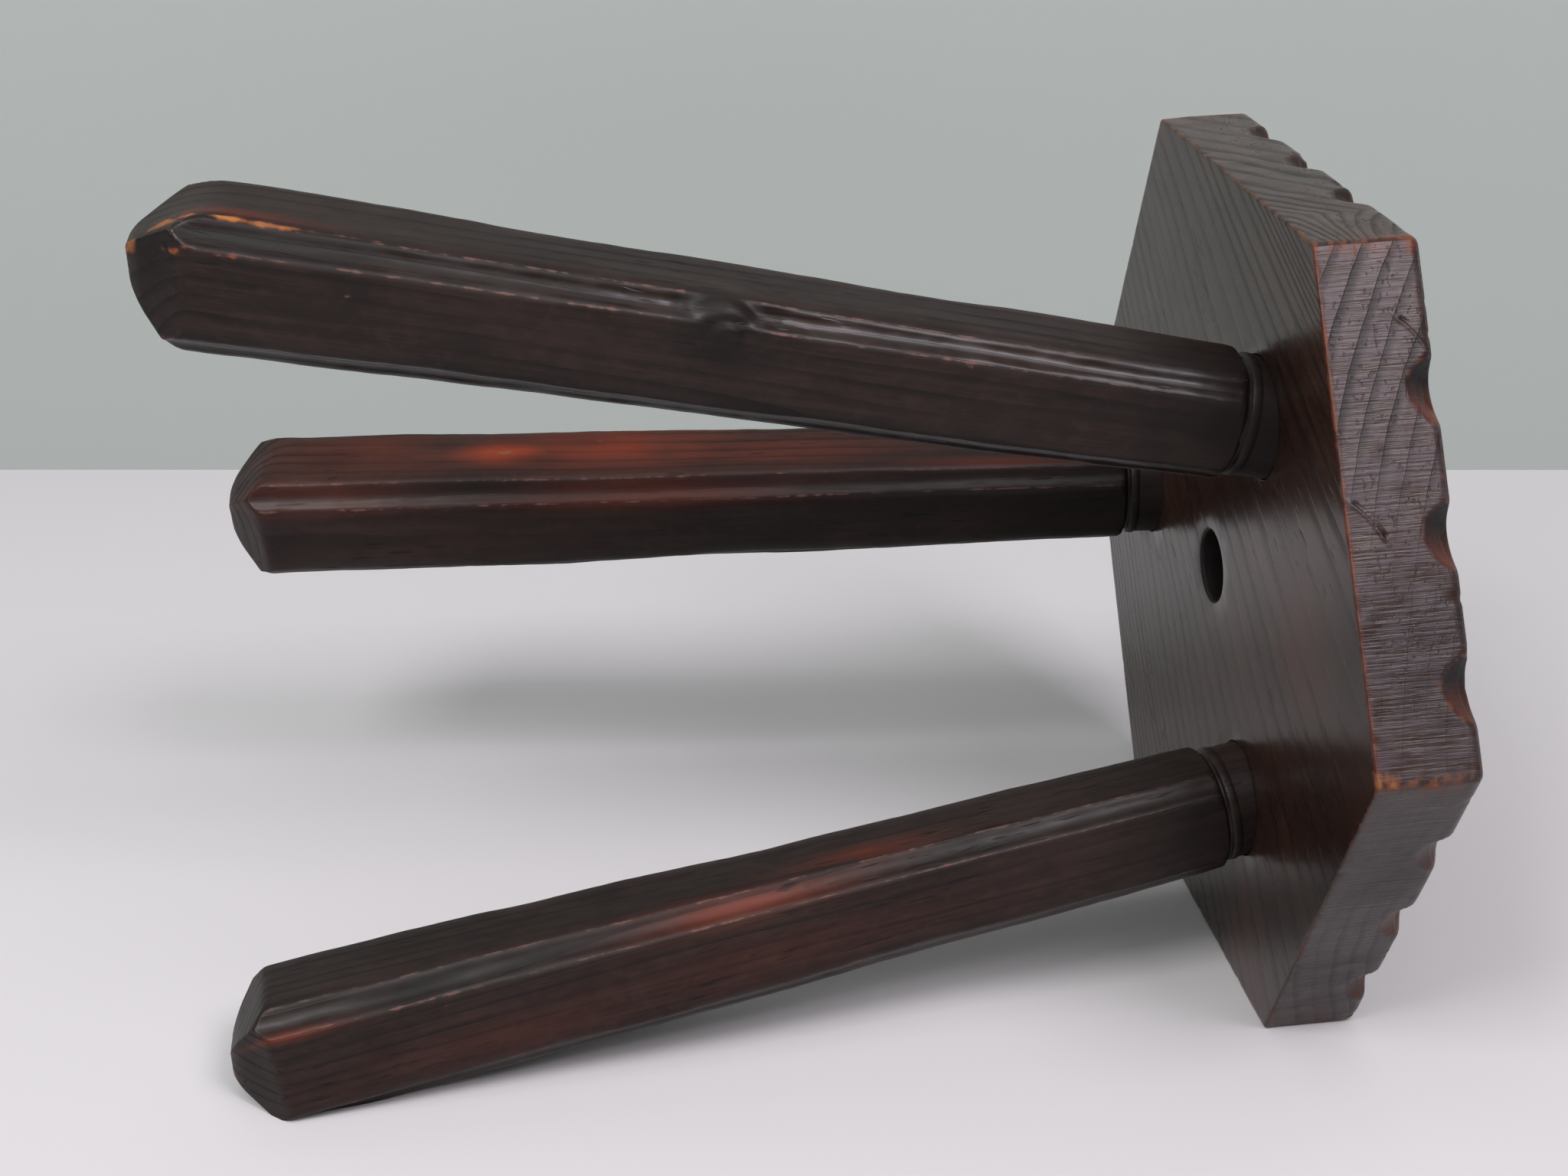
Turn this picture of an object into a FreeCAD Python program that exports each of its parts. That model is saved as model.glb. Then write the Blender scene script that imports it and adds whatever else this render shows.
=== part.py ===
"""Three legged hexagonal stool of solid wood, staked legs, standing upright.

The frame is the stool's own: +Z up, the floor at Z = 0 and the middle of the seat on the
Z axis. The seat's corners lie at 0, 60, 120 degrees and so on, and the legs stand under
every second corner. All sizes are in millimetres and degrees.
"""
import FreeCAD, Part

import math
import os

import Sketcher


DRIVING_SIZES = {
    # Seat: one thick hexagonal plank
    "seat_height": 425.0,
    "seat_corner_radius": 180.0,
    "seat_thickness": 37.0,
    "seat_corner_round": 3.0,
    "seat_under_edge_chamfer": 1.0,
    "seat_top_edge_round": 4.0,
    "seat_grain_bearing": 80.0,
    "finger_hole_width": 28.0,
    "finger_hole_chamfer": 1.5,
    # Gouged notches along the seat's top edge, three on every side; the shares say how far
    # along the side each one lies
    "notch_width": 25.0,
    "notch_depth": 9.5,
    "notch_run": 14.0,
    "notch_first_share": 0.265,
    "notch_second_share": 0.54,
    "notch_third_share": 0.815,
    # Places of the legs in the seat
    "leg_circle_radius": 91.0,
    "right_leg_bearing": 0.0,
    "back_leg_bearing": 120.0,
    "front_leg_bearing": 240.0,
    # Each leg was bored by eye, so each leans by its own angle, towards its own bearing,
    # and is turned on its own axis by its own amount
    "right_leg_splay_angle": 12.5,
    "back_leg_splay_angle": 8.5,
    "front_leg_splay_angle": 7.0,
    "right_leg_lean_bearing": -43.0,
    "back_leg_lean_bearing": 119.0,
    "front_leg_lean_bearing": 243.0,
    "right_leg_turn_angle": 25.0,
    "back_leg_turn_angle": 19.0,
    "front_leg_turn_angle": 31.0,
    # Shaft of a leg, a square that widens towards the foot
    "shaft_shoulder_width": 42.0,
    "shaft_foot_width": 51.5,
    "shaft_shoulder_drop": 12.0,
    "foot_bevel_length": 18.0,
    "foot_tip_width": 14.0,
    # Coves gouged along the four arrises of a leg
    "cove_shoulder_radius": 7.0,
    "cove_foot_radius": 9.4,
    "cove_past_bevel": 5.0,
    # Round neck and tenon, with a groove at the shoulder and a bead above it
    "neck_diameter": 43.5,
    "neck_groove_width": 2.5,
    "neck_groove_depth": 2.0,
    "bead_height": 1.0,
    "tenon_clearance": 0.2,
    # Wedge that spreads the tenon in the seat
    "wedge_depth": 27.0,
    "wedge_head_thickness": 5.0,
    "wedge_tip_thickness": 1.5,
    # How far a cutting tool runs past what it cuts
    "overrun": 6.0,
}

LEG_NAMES = ("right", "back", "front")
NOTCH_SHARES = ("notch_first_share", "notch_second_share", "notch_third_share")
SIDES_OF_SEAT = 6
ARRISES_OF_LEG = 4
THROUGH_ALL = 1

doc = FreeCAD.newDocument("stool")
sizes = doc.addObject("Spreadsheet::Sheet", "Sizes")
for row, (alias, value) in enumerate(DRIVING_SIZES.items(), start=1):
    sizes.set(f"A{row}", alias)
    sizes.set(f"B{row}", str(value))
    sizes.setAlias(f"B{row}", alias)
doc.recompute()


def size(alias):
    """A cell of the sheet, as it is written inside an expression."""
    return f"Sizes.{alias}"


def angle(alias):
    """A cell that holds degrees, as it is written inside an expression."""
    return f"(Sizes.{alias} * 1 deg)"


SEAT_UNDERSIDE = f"({size('seat_height')} - {size('seat_thickness')})"


# Sketches: outlines are drawn roughly in place, then every point is held by an expression


def moved(across, along, out, turn=0):
    """A placement inside a sketch plane: a shift and a turn about the sketch's own Y axis."""
    return f"placement(vector({across}; {along}; {out}); rotation(0; {turn}; 0))"


def sketch_on(body, name, role, offset=None):
    """A sketch on one of the body's own origin planes, moved in it by an offset."""
    sketch = body.newObject("Sketcher::SketchObject", name)
    sketch.AttachmentSupport = [(origin_part(body, role), "")]
    sketch.MapMode = "FlatFace"
    if offset:
        sketch.setExpression("AttachmentOffset", offset)
    return sketch


def origin_part(body, role):
    """One of a body's own origin planes or axes, found by its role."""
    for part in body.Origin.OriginFeatures:
        if part.Role == role:
            return part
    raise RuntimeError(f"no {role} in {body.Label}")


def join_ends(sketch, edges):
    """Joins each edge's end to the start of the next, all the way round."""
    for here, following in zip(edges, edges[1:] + edges[:1]):
        sketch.addConstraint(Sketcher.Constraint("Coincident", here, 2, following, 1))


def hold(sketch, edge, end, across, along, guess):
    """Holds one point of a sketch at two distances from the sketch's origin."""
    for kind, axis, distance, start in (
        ("DistanceX", -2, across, guess[0]),
        ("DistanceY", -1, along, guess[1]),
    ):
        if distance == "0":
            sketch.addConstraint(Sketcher.Constraint("PointOnObject", edge, end, axis))
        else:
            rule = Sketcher.Constraint(kind, -1, 1, edge, end, start)
            place = sketch.addConstraint(rule)
            sketch.setExpression(f"Constraints[{place}]", distance)


def hold_radius(sketch, ring, radius):
    """Gives a circle of a sketch its radius."""
    place = sketch.addConstraint(Sketcher.Constraint("Radius", ring, 1))
    sketch.setExpression(f"Constraints[{place}]", radius)


def polygon_sketch(body, name, role, corners, offset=None):
    """A closed outline of straight lines.

    Each corner is (across, along, guess): two expressions, and a rough place that only
    tells the corners apart before the sizes are read.
    """
    sketch = sketch_on(body, name, role, offset)
    guesses = [FreeCAD.Vector(guess[0], guess[1], 0) for across, along, guess in corners]
    edges = []
    for here, following in zip(guesses, guesses[1:] + guesses[:1]):
        edges.append(sketch.addGeometry(Part.LineSegment(here, following), False))
    join_ends(sketch, edges)
    for edge, (across, along, guess) in zip(edges, corners):
        hold(sketch, edge, 1, across, along, guess)
    return sketch


def regular_sketch(body, name, count, radius, offset=None):
    """A regular outline round the origin with one corner on the sketch's own X axis."""
    sketch = sketch_on(body, name, "XY_Plane", offset)
    turns = [2 * math.pi * corner / count for corner in range(count)]
    points = [FreeCAD.Vector(math.cos(turn), math.sin(turn), 0) for turn in turns]
    edges = []
    for here, following in zip(points, points[1:] + points[:1]):
        edges.append(sketch.addGeometry(Part.LineSegment(here, following), False))
    join_ends(sketch, edges)
    ring = sketch.addGeometry(Part.Circle(FreeCAD.Vector(), FreeCAD.Vector(0, 0, 1), 1), True)
    sketch.addConstraint(Sketcher.Constraint("Coincident", ring, 3, -1, 1))
    for edge in edges:
        sketch.addConstraint(Sketcher.Constraint("PointOnObject", edge, 1, ring))
    for edge in edges[1:]:
        sketch.addConstraint(Sketcher.Constraint("Equal", edges[0], edge))
    sketch.addConstraint(Sketcher.Constraint("PointOnObject", edges[0], 1, -1))
    hold_radius(sketch, ring, radius)
    return sketch


def circles_sketch(body, name, role, circles, offset=None):
    """Circles on the sketch's X axis: (how far across, radius, rough place)."""
    sketch = sketch_on(body, name, role, offset)
    for across, radius, guess in circles:
        centre = FreeCAD.Vector(guess, 0, 0)
        ring = sketch.addGeometry(Part.Circle(centre, FreeCAD.Vector(0, 0, 1), 1), False)
        hold(sketch, ring, 3, across, "0", (guess, 0))
        hold_radius(sketch, ring, radius)
    return sketch


# Features


def feature(body, kind, name, profile, **settings):
    """A feature of a body; a setting that is text is an expression."""
    made = body.newObject(f"PartDesign::{kind}", name)
    made.Profile = profile
    for setting, value in settings.items():
        if isinstance(value, str):
            made.setExpression(setting, value)
        else:
            setattr(made, setting, value)
    return made


def cut_that_bites(body, cut):
    """Recomputes a cut and makes sure that it took something away."""
    before = cut.BaseFeature.Shape.Volume
    doc.recompute()
    if cut.Shape.isNull() or cut.Shape.Volume >= before:
        raise RuntimeError(f"{cut.Label} cuts nothing from {body.Label}")
    return cut


def repeat_round(body, name, original, count):
    """Repeats a feature round the body's Z axis and makes the result the body's tip."""
    pattern = body.newObject("PartDesign::PolarPattern", name)
    pattern.Originals = [original]
    pattern.Axis = (origin_part(body, "Z_Axis"), [""])
    pattern.Angle = 360.0
    pattern.Occurrences = count
    body.Tip = pattern
    doc.recompute()


def ease_edges(body, kind, name, base, wanted, setting, expression):
    """A fillet or chamfer along the edges of a feature whose middle points are wanted."""
    names = []
    for number, edge in enumerate(base.Shape.Edges, start=1):
        middle = edge.valueAt((edge.FirstParameter + edge.LastParameter) / 2)
        if wanted(middle, edge):
            names.append(f"Edge{number}")
    eased = body.newObject(f"PartDesign::{kind}", name)
    eased.Base = (base, names)
    eased.setExpression(setting, expression)
    body.Tip = eased
    doc.recompute()
    return eased


# Seat: a hexagonal pad with eased edges, gouged notches and a finger hole in the middle


def seat_slab(body):
    """The plank with its upright corners and its two rims eased."""
    outline = regular_sketch(body, "seat_outline", SIDES_OF_SEAT, size("seat_corner_radius"))
    slab = feature(body, "Pad", "seat_blank", outline, Length=size("seat_thickness"))
    doc.recompute()
    top = sizes.seat_thickness
    near = top / 1000

    def is_upright(middle, edge):
        return abs(edge.tangentAt(edge.FirstParameter).z) > 0.5

    def is_low(middle, edge):
        return abs(middle.z) < near

    def is_high(middle, edge):
        return abs(middle.z - top) < near

    corners = ease_edges(body, "Fillet", "seat_corners", slab, is_upright,
                         "Radius", size("seat_corner_round"))
    under = ease_edges(body, "Chamfer", "seat_under_rim", corners, is_low,
                       "Size", size("seat_under_edge_chamfer"))
    ease_edges(body, "Fillet", "seat_top_rim", under, is_high,
               "Radius", size("seat_top_edge_round"))


def seat_notches(body):
    """Three gouge cuts through the top edge of one side, then the same on every side.

    The gouge runs down and out through the edge at the slope of the notch. Its circle is
    the one that leaves the notch's width, depth and run, and its sketch stands square to
    the cut, out beyond the side that faces +Y.
    """
    run = size("notch_run")
    depth = size("notch_depth")
    lean = f"({run} / sqrt({run}^2 + {depth}^2))"
    bite = f"({depth} * {lean})"
    radius = f"((({size('notch_width')} / 2)^2 + {bite}^2) / (2 * {bite}))"
    slope = f"(atan({depth} / {run}))"
    side = f"({size('seat_corner_radius')} * cos(30 deg))"
    beyond = f"({run} + {size('overrun')})"
    level = f"({size('seat_thickness')} + {radius} / {lean} - {depth} - {beyond} * tan({slope}))"
    square_to_cut = (f"placement(vector(0; {level}; -({side} + {beyond}));"
                     f" rotation(0; 0; -{slope}))")
    circles = []
    for step, share in enumerate(NOTCH_SHARES):
        across = f"({size('seat_corner_radius')} * (0.5 - {size(share)}))"
        circles.append((across, radius, 1 - step))
    gouge = circles_sketch(body, "notch_gouge", "XZ_Plane", circles, square_to_cut)
    doc.recompute()
    cut = feature(body, "Pocket", "side_notches", gouge, Type=THROUGH_ALL, Reversed=True)
    repeat_round(body, "all_notches", cut_that_bites(body, cut), SIDES_OF_SEAT)


def seat_finger_hole(body):
    """A hole through the middle with both its edges eased."""
    reach = f"({size('finger_hole_width')} / 2)"
    ring = circles_sketch(body, "finger_hole_ring", "XY_Plane", [("0", reach, 0)])
    bore = feature(body, "Pocket", "finger_hole", ring, Type=THROUGH_ALL, Midplane=True)
    body.Tip = cut_that_bites(body, bore)

    def is_rim(middle, edge):
        return math.hypot(middle.x, middle.y) < sizes.finger_hole_width

    ease_edges(body, "Chamfer", "finger_hole_rims", bore, is_rim,
               "Size", size("finger_hole_chamfer"))


def seat_body():
    body = doc.addObject("PartDesign::Body", "seat_plank")
    body.setExpression("Placement.Base.z", SEAT_UNDERSIDE)
    seat_slab(body)
    seat_notches(body)
    seat_finger_hole(body)
    return body


# Legs: each is built along its own axis, from the seat's underside down to the floor, with
# its arrises on its own X and Y axes


def leg_placement(name, turned_by=None):
    """Where a leg's own frame lies: its Z runs down the leg from the seat's underside."""
    bearing = angle(f"{name}_leg_bearing")
    reach = size("leg_circle_radius")
    base = f"vector({reach} * cos({bearing}); {reach} * sin({bearing}); {SEAT_UNDERSIDE})"
    lean = f"rotation({size(name + '_leg_lean_bearing')}; 180 - {size(name + '_leg_splay_angle')}; 0)"
    turn = f"rotation({turned_by or size(name + '_leg_turn_angle')}; 0; 0)"
    return f"placement({base}; {lean} * {turn})"


def leg_length(name):
    """Length of a leg's axis from the seat's underside to the floor."""
    return f"({SEAT_UNDERSIDE} / cos({angle(name + '_leg_splay_angle')}))"


def tenon_reach(name):
    """How far a tenon's blank reaches above the seat's underside, before it is trimmed."""
    straight = f"{size('seat_thickness')} / cos({angle(name + '_leg_splay_angle')})"
    return f"({straight} + {size('neck_diameter')} / 2)"


def shaft_lines(name):
    """Places along a leg and half diagonals of its square shaft, as expressions."""
    shoulder = size("shaft_shoulder_drop")
    bevel = f"({leg_length(name)} - {size('foot_bevel_length')})"
    shoulder_reach = f"({size('shaft_shoulder_width')} / sqrt(2))"
    foot_reach = f"({size('shaft_foot_width')} / sqrt(2))"
    widening = f"(({foot_reach} - {shoulder_reach}) / ({bevel} - {shoulder}))"
    past_floor = f"({leg_length(name)} + {size('overrun')})"
    return shoulder, bevel, shoulder_reach, widening, past_floor


def leg_shaft(body, name):
    """The square shaft, which widens from the shoulder to past the floor."""
    shoulder, bevel, shoulder_reach, widening, past_floor = shaft_lines(name)
    end_reach = f"({shoulder_reach} + {widening} * ({past_floor} - {shoulder}))"
    upper = regular_sketch(body, f"{name}_shoulder_square", ARRISES_OF_LEG, shoulder_reach,
                           moved(0, 0, shoulder))
    lower = regular_sketch(body, f"{name}_foot_square", ARRISES_OF_LEG, end_reach,
                           moved(0, 0, past_floor))
    feature(body, "AdditiveLoft", f"{name}_shaft", upper, Ruled=True, Sections=[lower])
    doc.recompute()


def leg_coves(body, name):
    """A round cove along each arris, wider towards the foot, with a spoon shaped end.

    Its outline is turned about the arris itself: the sketch's Y axis lies on the arris.
    """
    shoulder, bevel, shoulder_reach, widening, past_floor = shaft_lines(name)
    start = f"({shoulder} - {size('overrun')})"
    slant = f"(atan({widening}))"
    rim = size("cove_foot_radius")
    run = f"(({bevel} + {size('cove_past_bevel')} - {start}) / cos({slant}) - {rim})"
    on_arris = (f"placement(vector({shoulder_reach} - {widening} * {size('overrun')}; {start}; 0);"
                f" rotation(-{slant}; 0; 0))")
    sketch = sketch_on(body, f"{name}_cove_profile", "XZ_Plane", on_arris)
    spoon = Part.Circle(FreeCAD.Vector(0, 4, 0), FreeCAD.Vector(0, 0, 1), 1)
    points = [FreeCAD.Vector(*guess, 0) for guess in ((0, 0), (1, 0), (1, 4), (0, 5))]
    head = sketch.addGeometry(Part.LineSegment(points[0], points[1]), False)
    flank = sketch.addGeometry(Part.LineSegment(points[1], points[2]), False)
    bowl = sketch.addGeometry(Part.ArcOfCircle(spoon, 0, math.pi / 2), False)
    spine = sketch.addGeometry(Part.LineSegment(points[3], points[0]), False)
    join_ends(sketch, [head, flank, bowl, spine])
    hold(sketch, head, 1, "0", "0", (0, 0))
    hold(sketch, head, 2, size("cove_shoulder_radius"), "0", (1, 0))
    hold(sketch, flank, 2, rim, run, (1, 4))
    hold(sketch, bowl, 3, "0", run, (0, 4))
    sketch.addConstraint(Sketcher.Constraint("PointOnObject", bowl, 2, -2))
    doc.recompute()
    cove = feature(body, "Groove", f"{name}_cove", sketch, Angle=360.0,
                   ReferenceAxis=(sketch, ["V_Axis"]))
    repeat_round(body, f"{name}_coves", cut_that_bites(body, cove), ARRISES_OF_LEG)


def leg_bevels(body, name):
    """Four slopes that bring the wide end of the shaft down to a small square tip."""
    shoulder, bevel, shoulder_reach, widening, past_floor = shaft_lines(name)
    tip_reach = f"({size('foot_tip_width')} / 2)"
    face_reach = f"({size('shaft_foot_width')} / 2)"
    fall = f"(({face_reach} - {tip_reach}) / {size('foot_bevel_length')})"
    lowest = f"({past_floor} + {size('overrun')})"
    profile = polygon_sketch(body, f"{name}_bevel_profile", "XZ_Plane", [
        (f"({face_reach} + {size('overrun')})", f"({bevel} - {size('overrun')} / {fall})", (3, 1)),
        (f"({face_reach} + {size('overrun')})", lowest, (3, 5)),
        (f"({tip_reach} - {fall} * 2 * {size('overrun')})", lowest, (1, 5)),
    ], moved(0, 0, 0, turn=45))
    doc.recompute()
    slope = feature(body, "Pocket", f"{name}_bevel", profile, Type=THROUGH_ALL, Midplane=True)
    repeat_round(body, f"{name}_bevels", cut_that_bites(body, slope), ARRISES_OF_LEG)


def leg_neck(body, name):
    """The turned end: a groove at the shoulder, a bead, then a plain round tenon.

    It starts past the seat's top face and ends inside the shaft, so that the two are one.
    """
    reach = f"({size('neck_diameter')} / 2)"
    groove = f"({reach} - {size('neck_groove_depth')})"
    length = f"({tenon_reach(name)} + {size('shaft_shoulder_drop')})"
    groove_top = f"({length} - {size('neck_groove_width')})"
    inside_shaft = f"({length} + {size('shaft_shoulder_width')} / 4)"
    bead = size("bead_height")
    profile = polygon_sketch(body, f"{name}_neck_profile", "XZ_Plane", [
        ("0", "0", (0, 0)),
        (reach, "0", (3, 0)),
        (reach, f"({groove_top} - 2 * {bead})", (3, 5)),
        (f"({reach} + {bead})", f"({groove_top} - {bead})", (4, 6)),
        (reach, groove_top, (3, 7)),
        (groove, groove_top, (2, 7)),
        (groove, inside_shaft, (2, 9)),
        ("0", inside_shaft, (0, 9)),
    ], moved(0, f"-{tenon_reach(name)}", 0))
    doc.recompute()
    body.Tip = feature(body, "Revolution", f"{name}_neck", profile, Angle=360.0,
                       ReferenceAxis=(profile, ["V_Axis"]))
    doc.recompute()


def leg_body(name):
    body = doc.addObject("PartDesign::Body", f"{name}_leg_blank")
    body.setExpression("Placement", leg_placement(name))
    leg_shaft(body, name)
    leg_coves(body, name)
    leg_bevels(body, name)
    leg_neck(body, name)
    return body


# Wedges, sockets and the trimming of every leg to the seat's top and to the floor


def wedge_body(name):
    """A thin taper as wide as the tenon, lying across the seat's grain."""
    body = doc.addObject("PartDesign::Body", f"{name}_wedge_blank")
    across_grain = f"{size(name + '_leg_lean_bearing')} - {size('seat_grain_bearing')}"
    body.setExpression("Placement", leg_placement(name, across_grain))
    head = f"({size('wedge_head_thickness')} / 2)"
    tip = f"({size('wedge_tip_thickness')} / 2)"
    head_line = f"({size('neck_diameter')} / 2)"
    tip_line = f"({head_line} + {size('wedge_depth')})"
    outline = polygon_sketch(body, f"{name}_wedge_outline", "XZ_Plane", [
        (f"-{head}", "0", (-2, 0)),
        (head, "0", (2, 0)),
        (head, head_line, (2, 3)),
        (tip, tip_line, (1, 9)),
        (f"-{tip}", tip_line, (-1, 9)),
        (f"-{head}", head_line, (-2, 3)),
    ], moved(0, f"-{tenon_reach(name)}", 0))
    feature(body, "Pad", f"{name}_wedge_taper", outline, Midplane=True,
            Length=f"{size('neck_diameter')} + {size('overrun')}")
    doc.recompute()
    return body


def round_along_leg(name, label, diameter):
    """A plain cylinder on a leg's axis, from past the seat's top to below its underside."""
    rod = doc.addObject("Part::Cylinder", label)
    rod.setExpression("Radius", f"{diameter} / 2")
    rod.setExpression("Height", f"{tenon_reach(name)} + {size('neck_diameter')} / 2")
    start = f"placement(vector(0; 0; -{tenon_reach(name)}); rotation(0; 0; 0))"
    rod.setExpression("Placement", f"{leg_placement(name)} * {start}")
    return rod


def combined(kind, label, base, tool):
    """A boolean of two objects."""
    made = doc.addObject(f"Part::{kind}", label)
    made.Base = base
    made.Tool = tool
    return made


def room_under_top():
    """A block between the floor and the seat's top face, wider than the stool."""
    block = doc.addObject("Part::Box", "room")
    reach = size("seat_corner_radius")
    for side in ("Length", "Width"):
        block.setExpression(side, f"6 * {reach}")
    for axis in ("x", "y"):
        block.setExpression(f"Placement.Base.{axis}", f"-3 * {reach}")
    block.setExpression("Height", size("seat_height"))
    return block


seat = seat_body()
room = room_under_top()
legs = []
wedges = []
for leg_name in LEG_NAMES:
    bore_width = f"({size('neck_diameter')} + {size('tenon_clearance')})"
    socket = round_along_leg(leg_name, f"{leg_name}_socket", bore_width)
    seat = combined("Cut", f"seat_bored_for_{leg_name}_leg", seat, socket)
    tenon = round_along_leg(leg_name, f"{leg_name}_tenon", size("neck_diameter"))
    wedge = wedge_body(leg_name)
    slotted = combined("Cut", f"{leg_name}_slotted_leg", leg_body(leg_name), wedge)
    legs.append(combined("Common", f"leg_{leg_name}", slotted, room))
    rounded = combined("Common", f"{leg_name}_rounded_wedge", wedge, tenon)
    wedges.append(combined("Common", f"wedge_{leg_name}", rounded, room))
seat.Label = "seat"
doc.recompute()

# Every object must have built, and every piece must be one sound solid, before any is written
nodes = [seat] + legs + wedges
for made in doc.Objects:
    if "Invalid" in made.State or "Error" in made.State:
        raise RuntimeError(f"{made.Label} failed: {made.State}")
for node in nodes:
    shape = node.Shape
    if shape.isNull() or not shape.isValid() or len(shape.Solids) != 1:
        raise RuntimeError(f"{node.Label} is not one sound solid")

os.makedirs("parts", exist_ok=True)
for node in nodes:
    node.Shape.exportStep(f"parts/{node.Label}.step")
    box = node.Shape.optimalBoundingBox(False, False)
    print(f"{node.Label}: {node.Shape.Volume / 1000:.1f} cm3,"
          f" {box.XLength:.1f} x {box.YLength:.1f} x {box.ZLength:.1f} mm")
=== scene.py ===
# %% [markdown]
# # A staked three legged stool
#
# The real stool is a thick hexagonal plank on three square legs. Each leg ends in a turned
# neck and a round tenon, which is driven through the plank and spread with a wedge. The
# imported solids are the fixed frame: everything made here sits in their place, in metres.

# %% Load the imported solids
import math

import bmesh
import bpy
import numpy as np
from mathutils import Matrix, Vector, noise
from mathutils.geometry import delaunay_2d_cdt


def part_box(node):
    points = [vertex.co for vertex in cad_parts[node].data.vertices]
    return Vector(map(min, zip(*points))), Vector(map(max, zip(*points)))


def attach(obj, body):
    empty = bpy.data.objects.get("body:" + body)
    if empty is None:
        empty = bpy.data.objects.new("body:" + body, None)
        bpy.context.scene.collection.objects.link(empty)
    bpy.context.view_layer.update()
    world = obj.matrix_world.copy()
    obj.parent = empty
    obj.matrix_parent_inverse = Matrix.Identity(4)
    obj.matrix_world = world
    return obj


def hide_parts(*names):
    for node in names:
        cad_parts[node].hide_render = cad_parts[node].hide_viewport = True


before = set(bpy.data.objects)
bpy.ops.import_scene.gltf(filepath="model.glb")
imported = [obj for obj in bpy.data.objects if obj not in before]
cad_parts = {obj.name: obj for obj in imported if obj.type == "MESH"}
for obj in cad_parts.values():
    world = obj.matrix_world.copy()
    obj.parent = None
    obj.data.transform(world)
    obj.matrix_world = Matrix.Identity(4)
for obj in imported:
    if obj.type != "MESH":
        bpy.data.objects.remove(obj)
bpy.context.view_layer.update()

MM = 0.001
seat_low, seat_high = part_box("seat")
SEAT_UNDER = seat_low.z
SEAT_TOP = seat_high.z
THICKNESS = SEAT_TOP - SEAT_UNDER
APOTHEM = seat_high.y
CORNER = APOTHEM / math.cos(math.radians(30))
print("plank", round(THICKNESS / MM, 1), "mm thick")
print("plank", round(2 * APOTHEM / MM, 1), "mm across the flats")

# %% [markdown]
# ## Sums that flow through nodes
#
# A node tree is a formula drawn as boxes, and a long formula is easier to read as a formula.
# This small class lets a sum such as `(a + b) * 0.5` add its Math nodes by itself. It works
# in a shader tree and in a Geometry Nodes tree, because both have the same Math node.

# %% A number between nodes
class Flow:
    """An output socket that can be added, multiplied and so on."""

    def __init__(self, tree, socket):
        self.tree = tree
        self.socket = socket

    def math(self, operation, *others):
        inputs = dict(enumerate((self, *others)))
        return node_of(self.tree, "ShaderNodeMath", inputs, operation=operation)

    def __add__(self, other):
        return self.math("ADD", other)

    def __sub__(self, other):
        return self.math("SUBTRACT", other)

    def __mul__(self, other):
        return self.math("MULTIPLY", other)

    def __truediv__(self, other):
        return self.math("DIVIDE", other)

    def __rsub__(self, other):
        return self * -1 + other

    __radd__ = __add__
    __rmul__ = __mul__

    def above(self, least):
        return self.math("MAXIMUM", least)

    def below(self, most):
        return self.math("MINIMUM", most)

    def root(self):
        return self.math("SQRT")

    def absolute(self):
        return self.math("ABSOLUTE")

    def part(self):
        """The same number, held between 0 and 1."""
        return self.above(0).below(1)

    def bell(self, spread=1.0):
        """1 at zero, and a soft fall on both sides of it."""
        return (self * self / -spread).math("EXPONENT")

    def ramp(self, start, end):
        """0 before start, 1 after end, and a soft step between them."""
        inputs = {"Value": self, "From Min": start, "From Max": end}
        return node_of(self.tree, "ShaderNodeMapRange", inputs, interpolation_type="SMOOTHSTEP")


def plug_into(node, inputs):
    """Links flowing values to a node's inputs, and types plain ones into them."""
    for key, value in inputs.items():
        if isinstance(value, Flow):
            value.tree.links.new(value.socket, node.inputs[key])
        else:
            node.inputs[key].default_value = value


def node_of(tree, kind, inputs, output=0, **settings):
    """Adds a node with its settings and inputs, and hands on one of its outputs."""
    node = tree.nodes.new(kind)
    for key, value in settings.items():
        setattr(node, key, value)
    plug_into(node, inputs)
    return Flow(tree, node.outputs[output])


def vector(tree, x, y, z):
    return node_of(tree, "ShaderNodeCombineXYZ", {0: x, 1: y, 2: z})


def parts_of(vector_flow):
    """The three numbers of a vector."""
    first = node_of(vector_flow.tree, "ShaderNodeSeparateXYZ", {0: vector_flow})
    return [Flow(first.tree, output) for output in first.socket.node.outputs]


def clouds(place, detail=2, roughness=0.5):
    """Soft noise from about 0 to 1 at a place, one bump per unit."""
    inputs = {"Vector": place, "Scale": 1.0, "Detail": detail, "Roughness": roughness}
    return node_of(place.tree, "ShaderNodeTexNoise", inputs)


# %% [markdown]
# ## From arrays to meshes
#
# The seat is shaped with NumPy and the legs with Geometry Nodes, and both end here. A mesh is
# made from arrays of points and faces, doubled points are merged, and each point keeps a few
# values for the finishes: `wood`, its place in the timber with the grain along the third
# number; `rings`, the radius of its growth ring; `rim`, how near it lies to a worn edge; and
# one value for each kind of stain, where `dark` is partly stain and partly painted shade. The
# seat's points also keep `edge`, their place on the sides, and the legs' points keep `polish`,
# which is full inside the coves.

# %% Mesh helpers
STAINS = ("red", "ochre", "dark")


def store(mesh, name, values):
    """Keeps one number or one vector for each point of a mesh."""
    values = np.asarray(values, np.float32)
    kind = "FLOAT" if values.ndim == 1 else "FLOAT_VECTOR"
    if name in mesh.attributes:
        mesh.attributes.remove(mesh.attributes[name])
    layer = mesh.attributes.new(name, kind, "POINT")
    layer.data.foreach_set("value" if kind == "FLOAT" else "vector", values.ravel())


def places(mesh):
    points = np.zeros(3 * len(mesh.vertices))
    mesh.vertices.foreach_get("co", points)
    return points.reshape(-1, 3)


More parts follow.
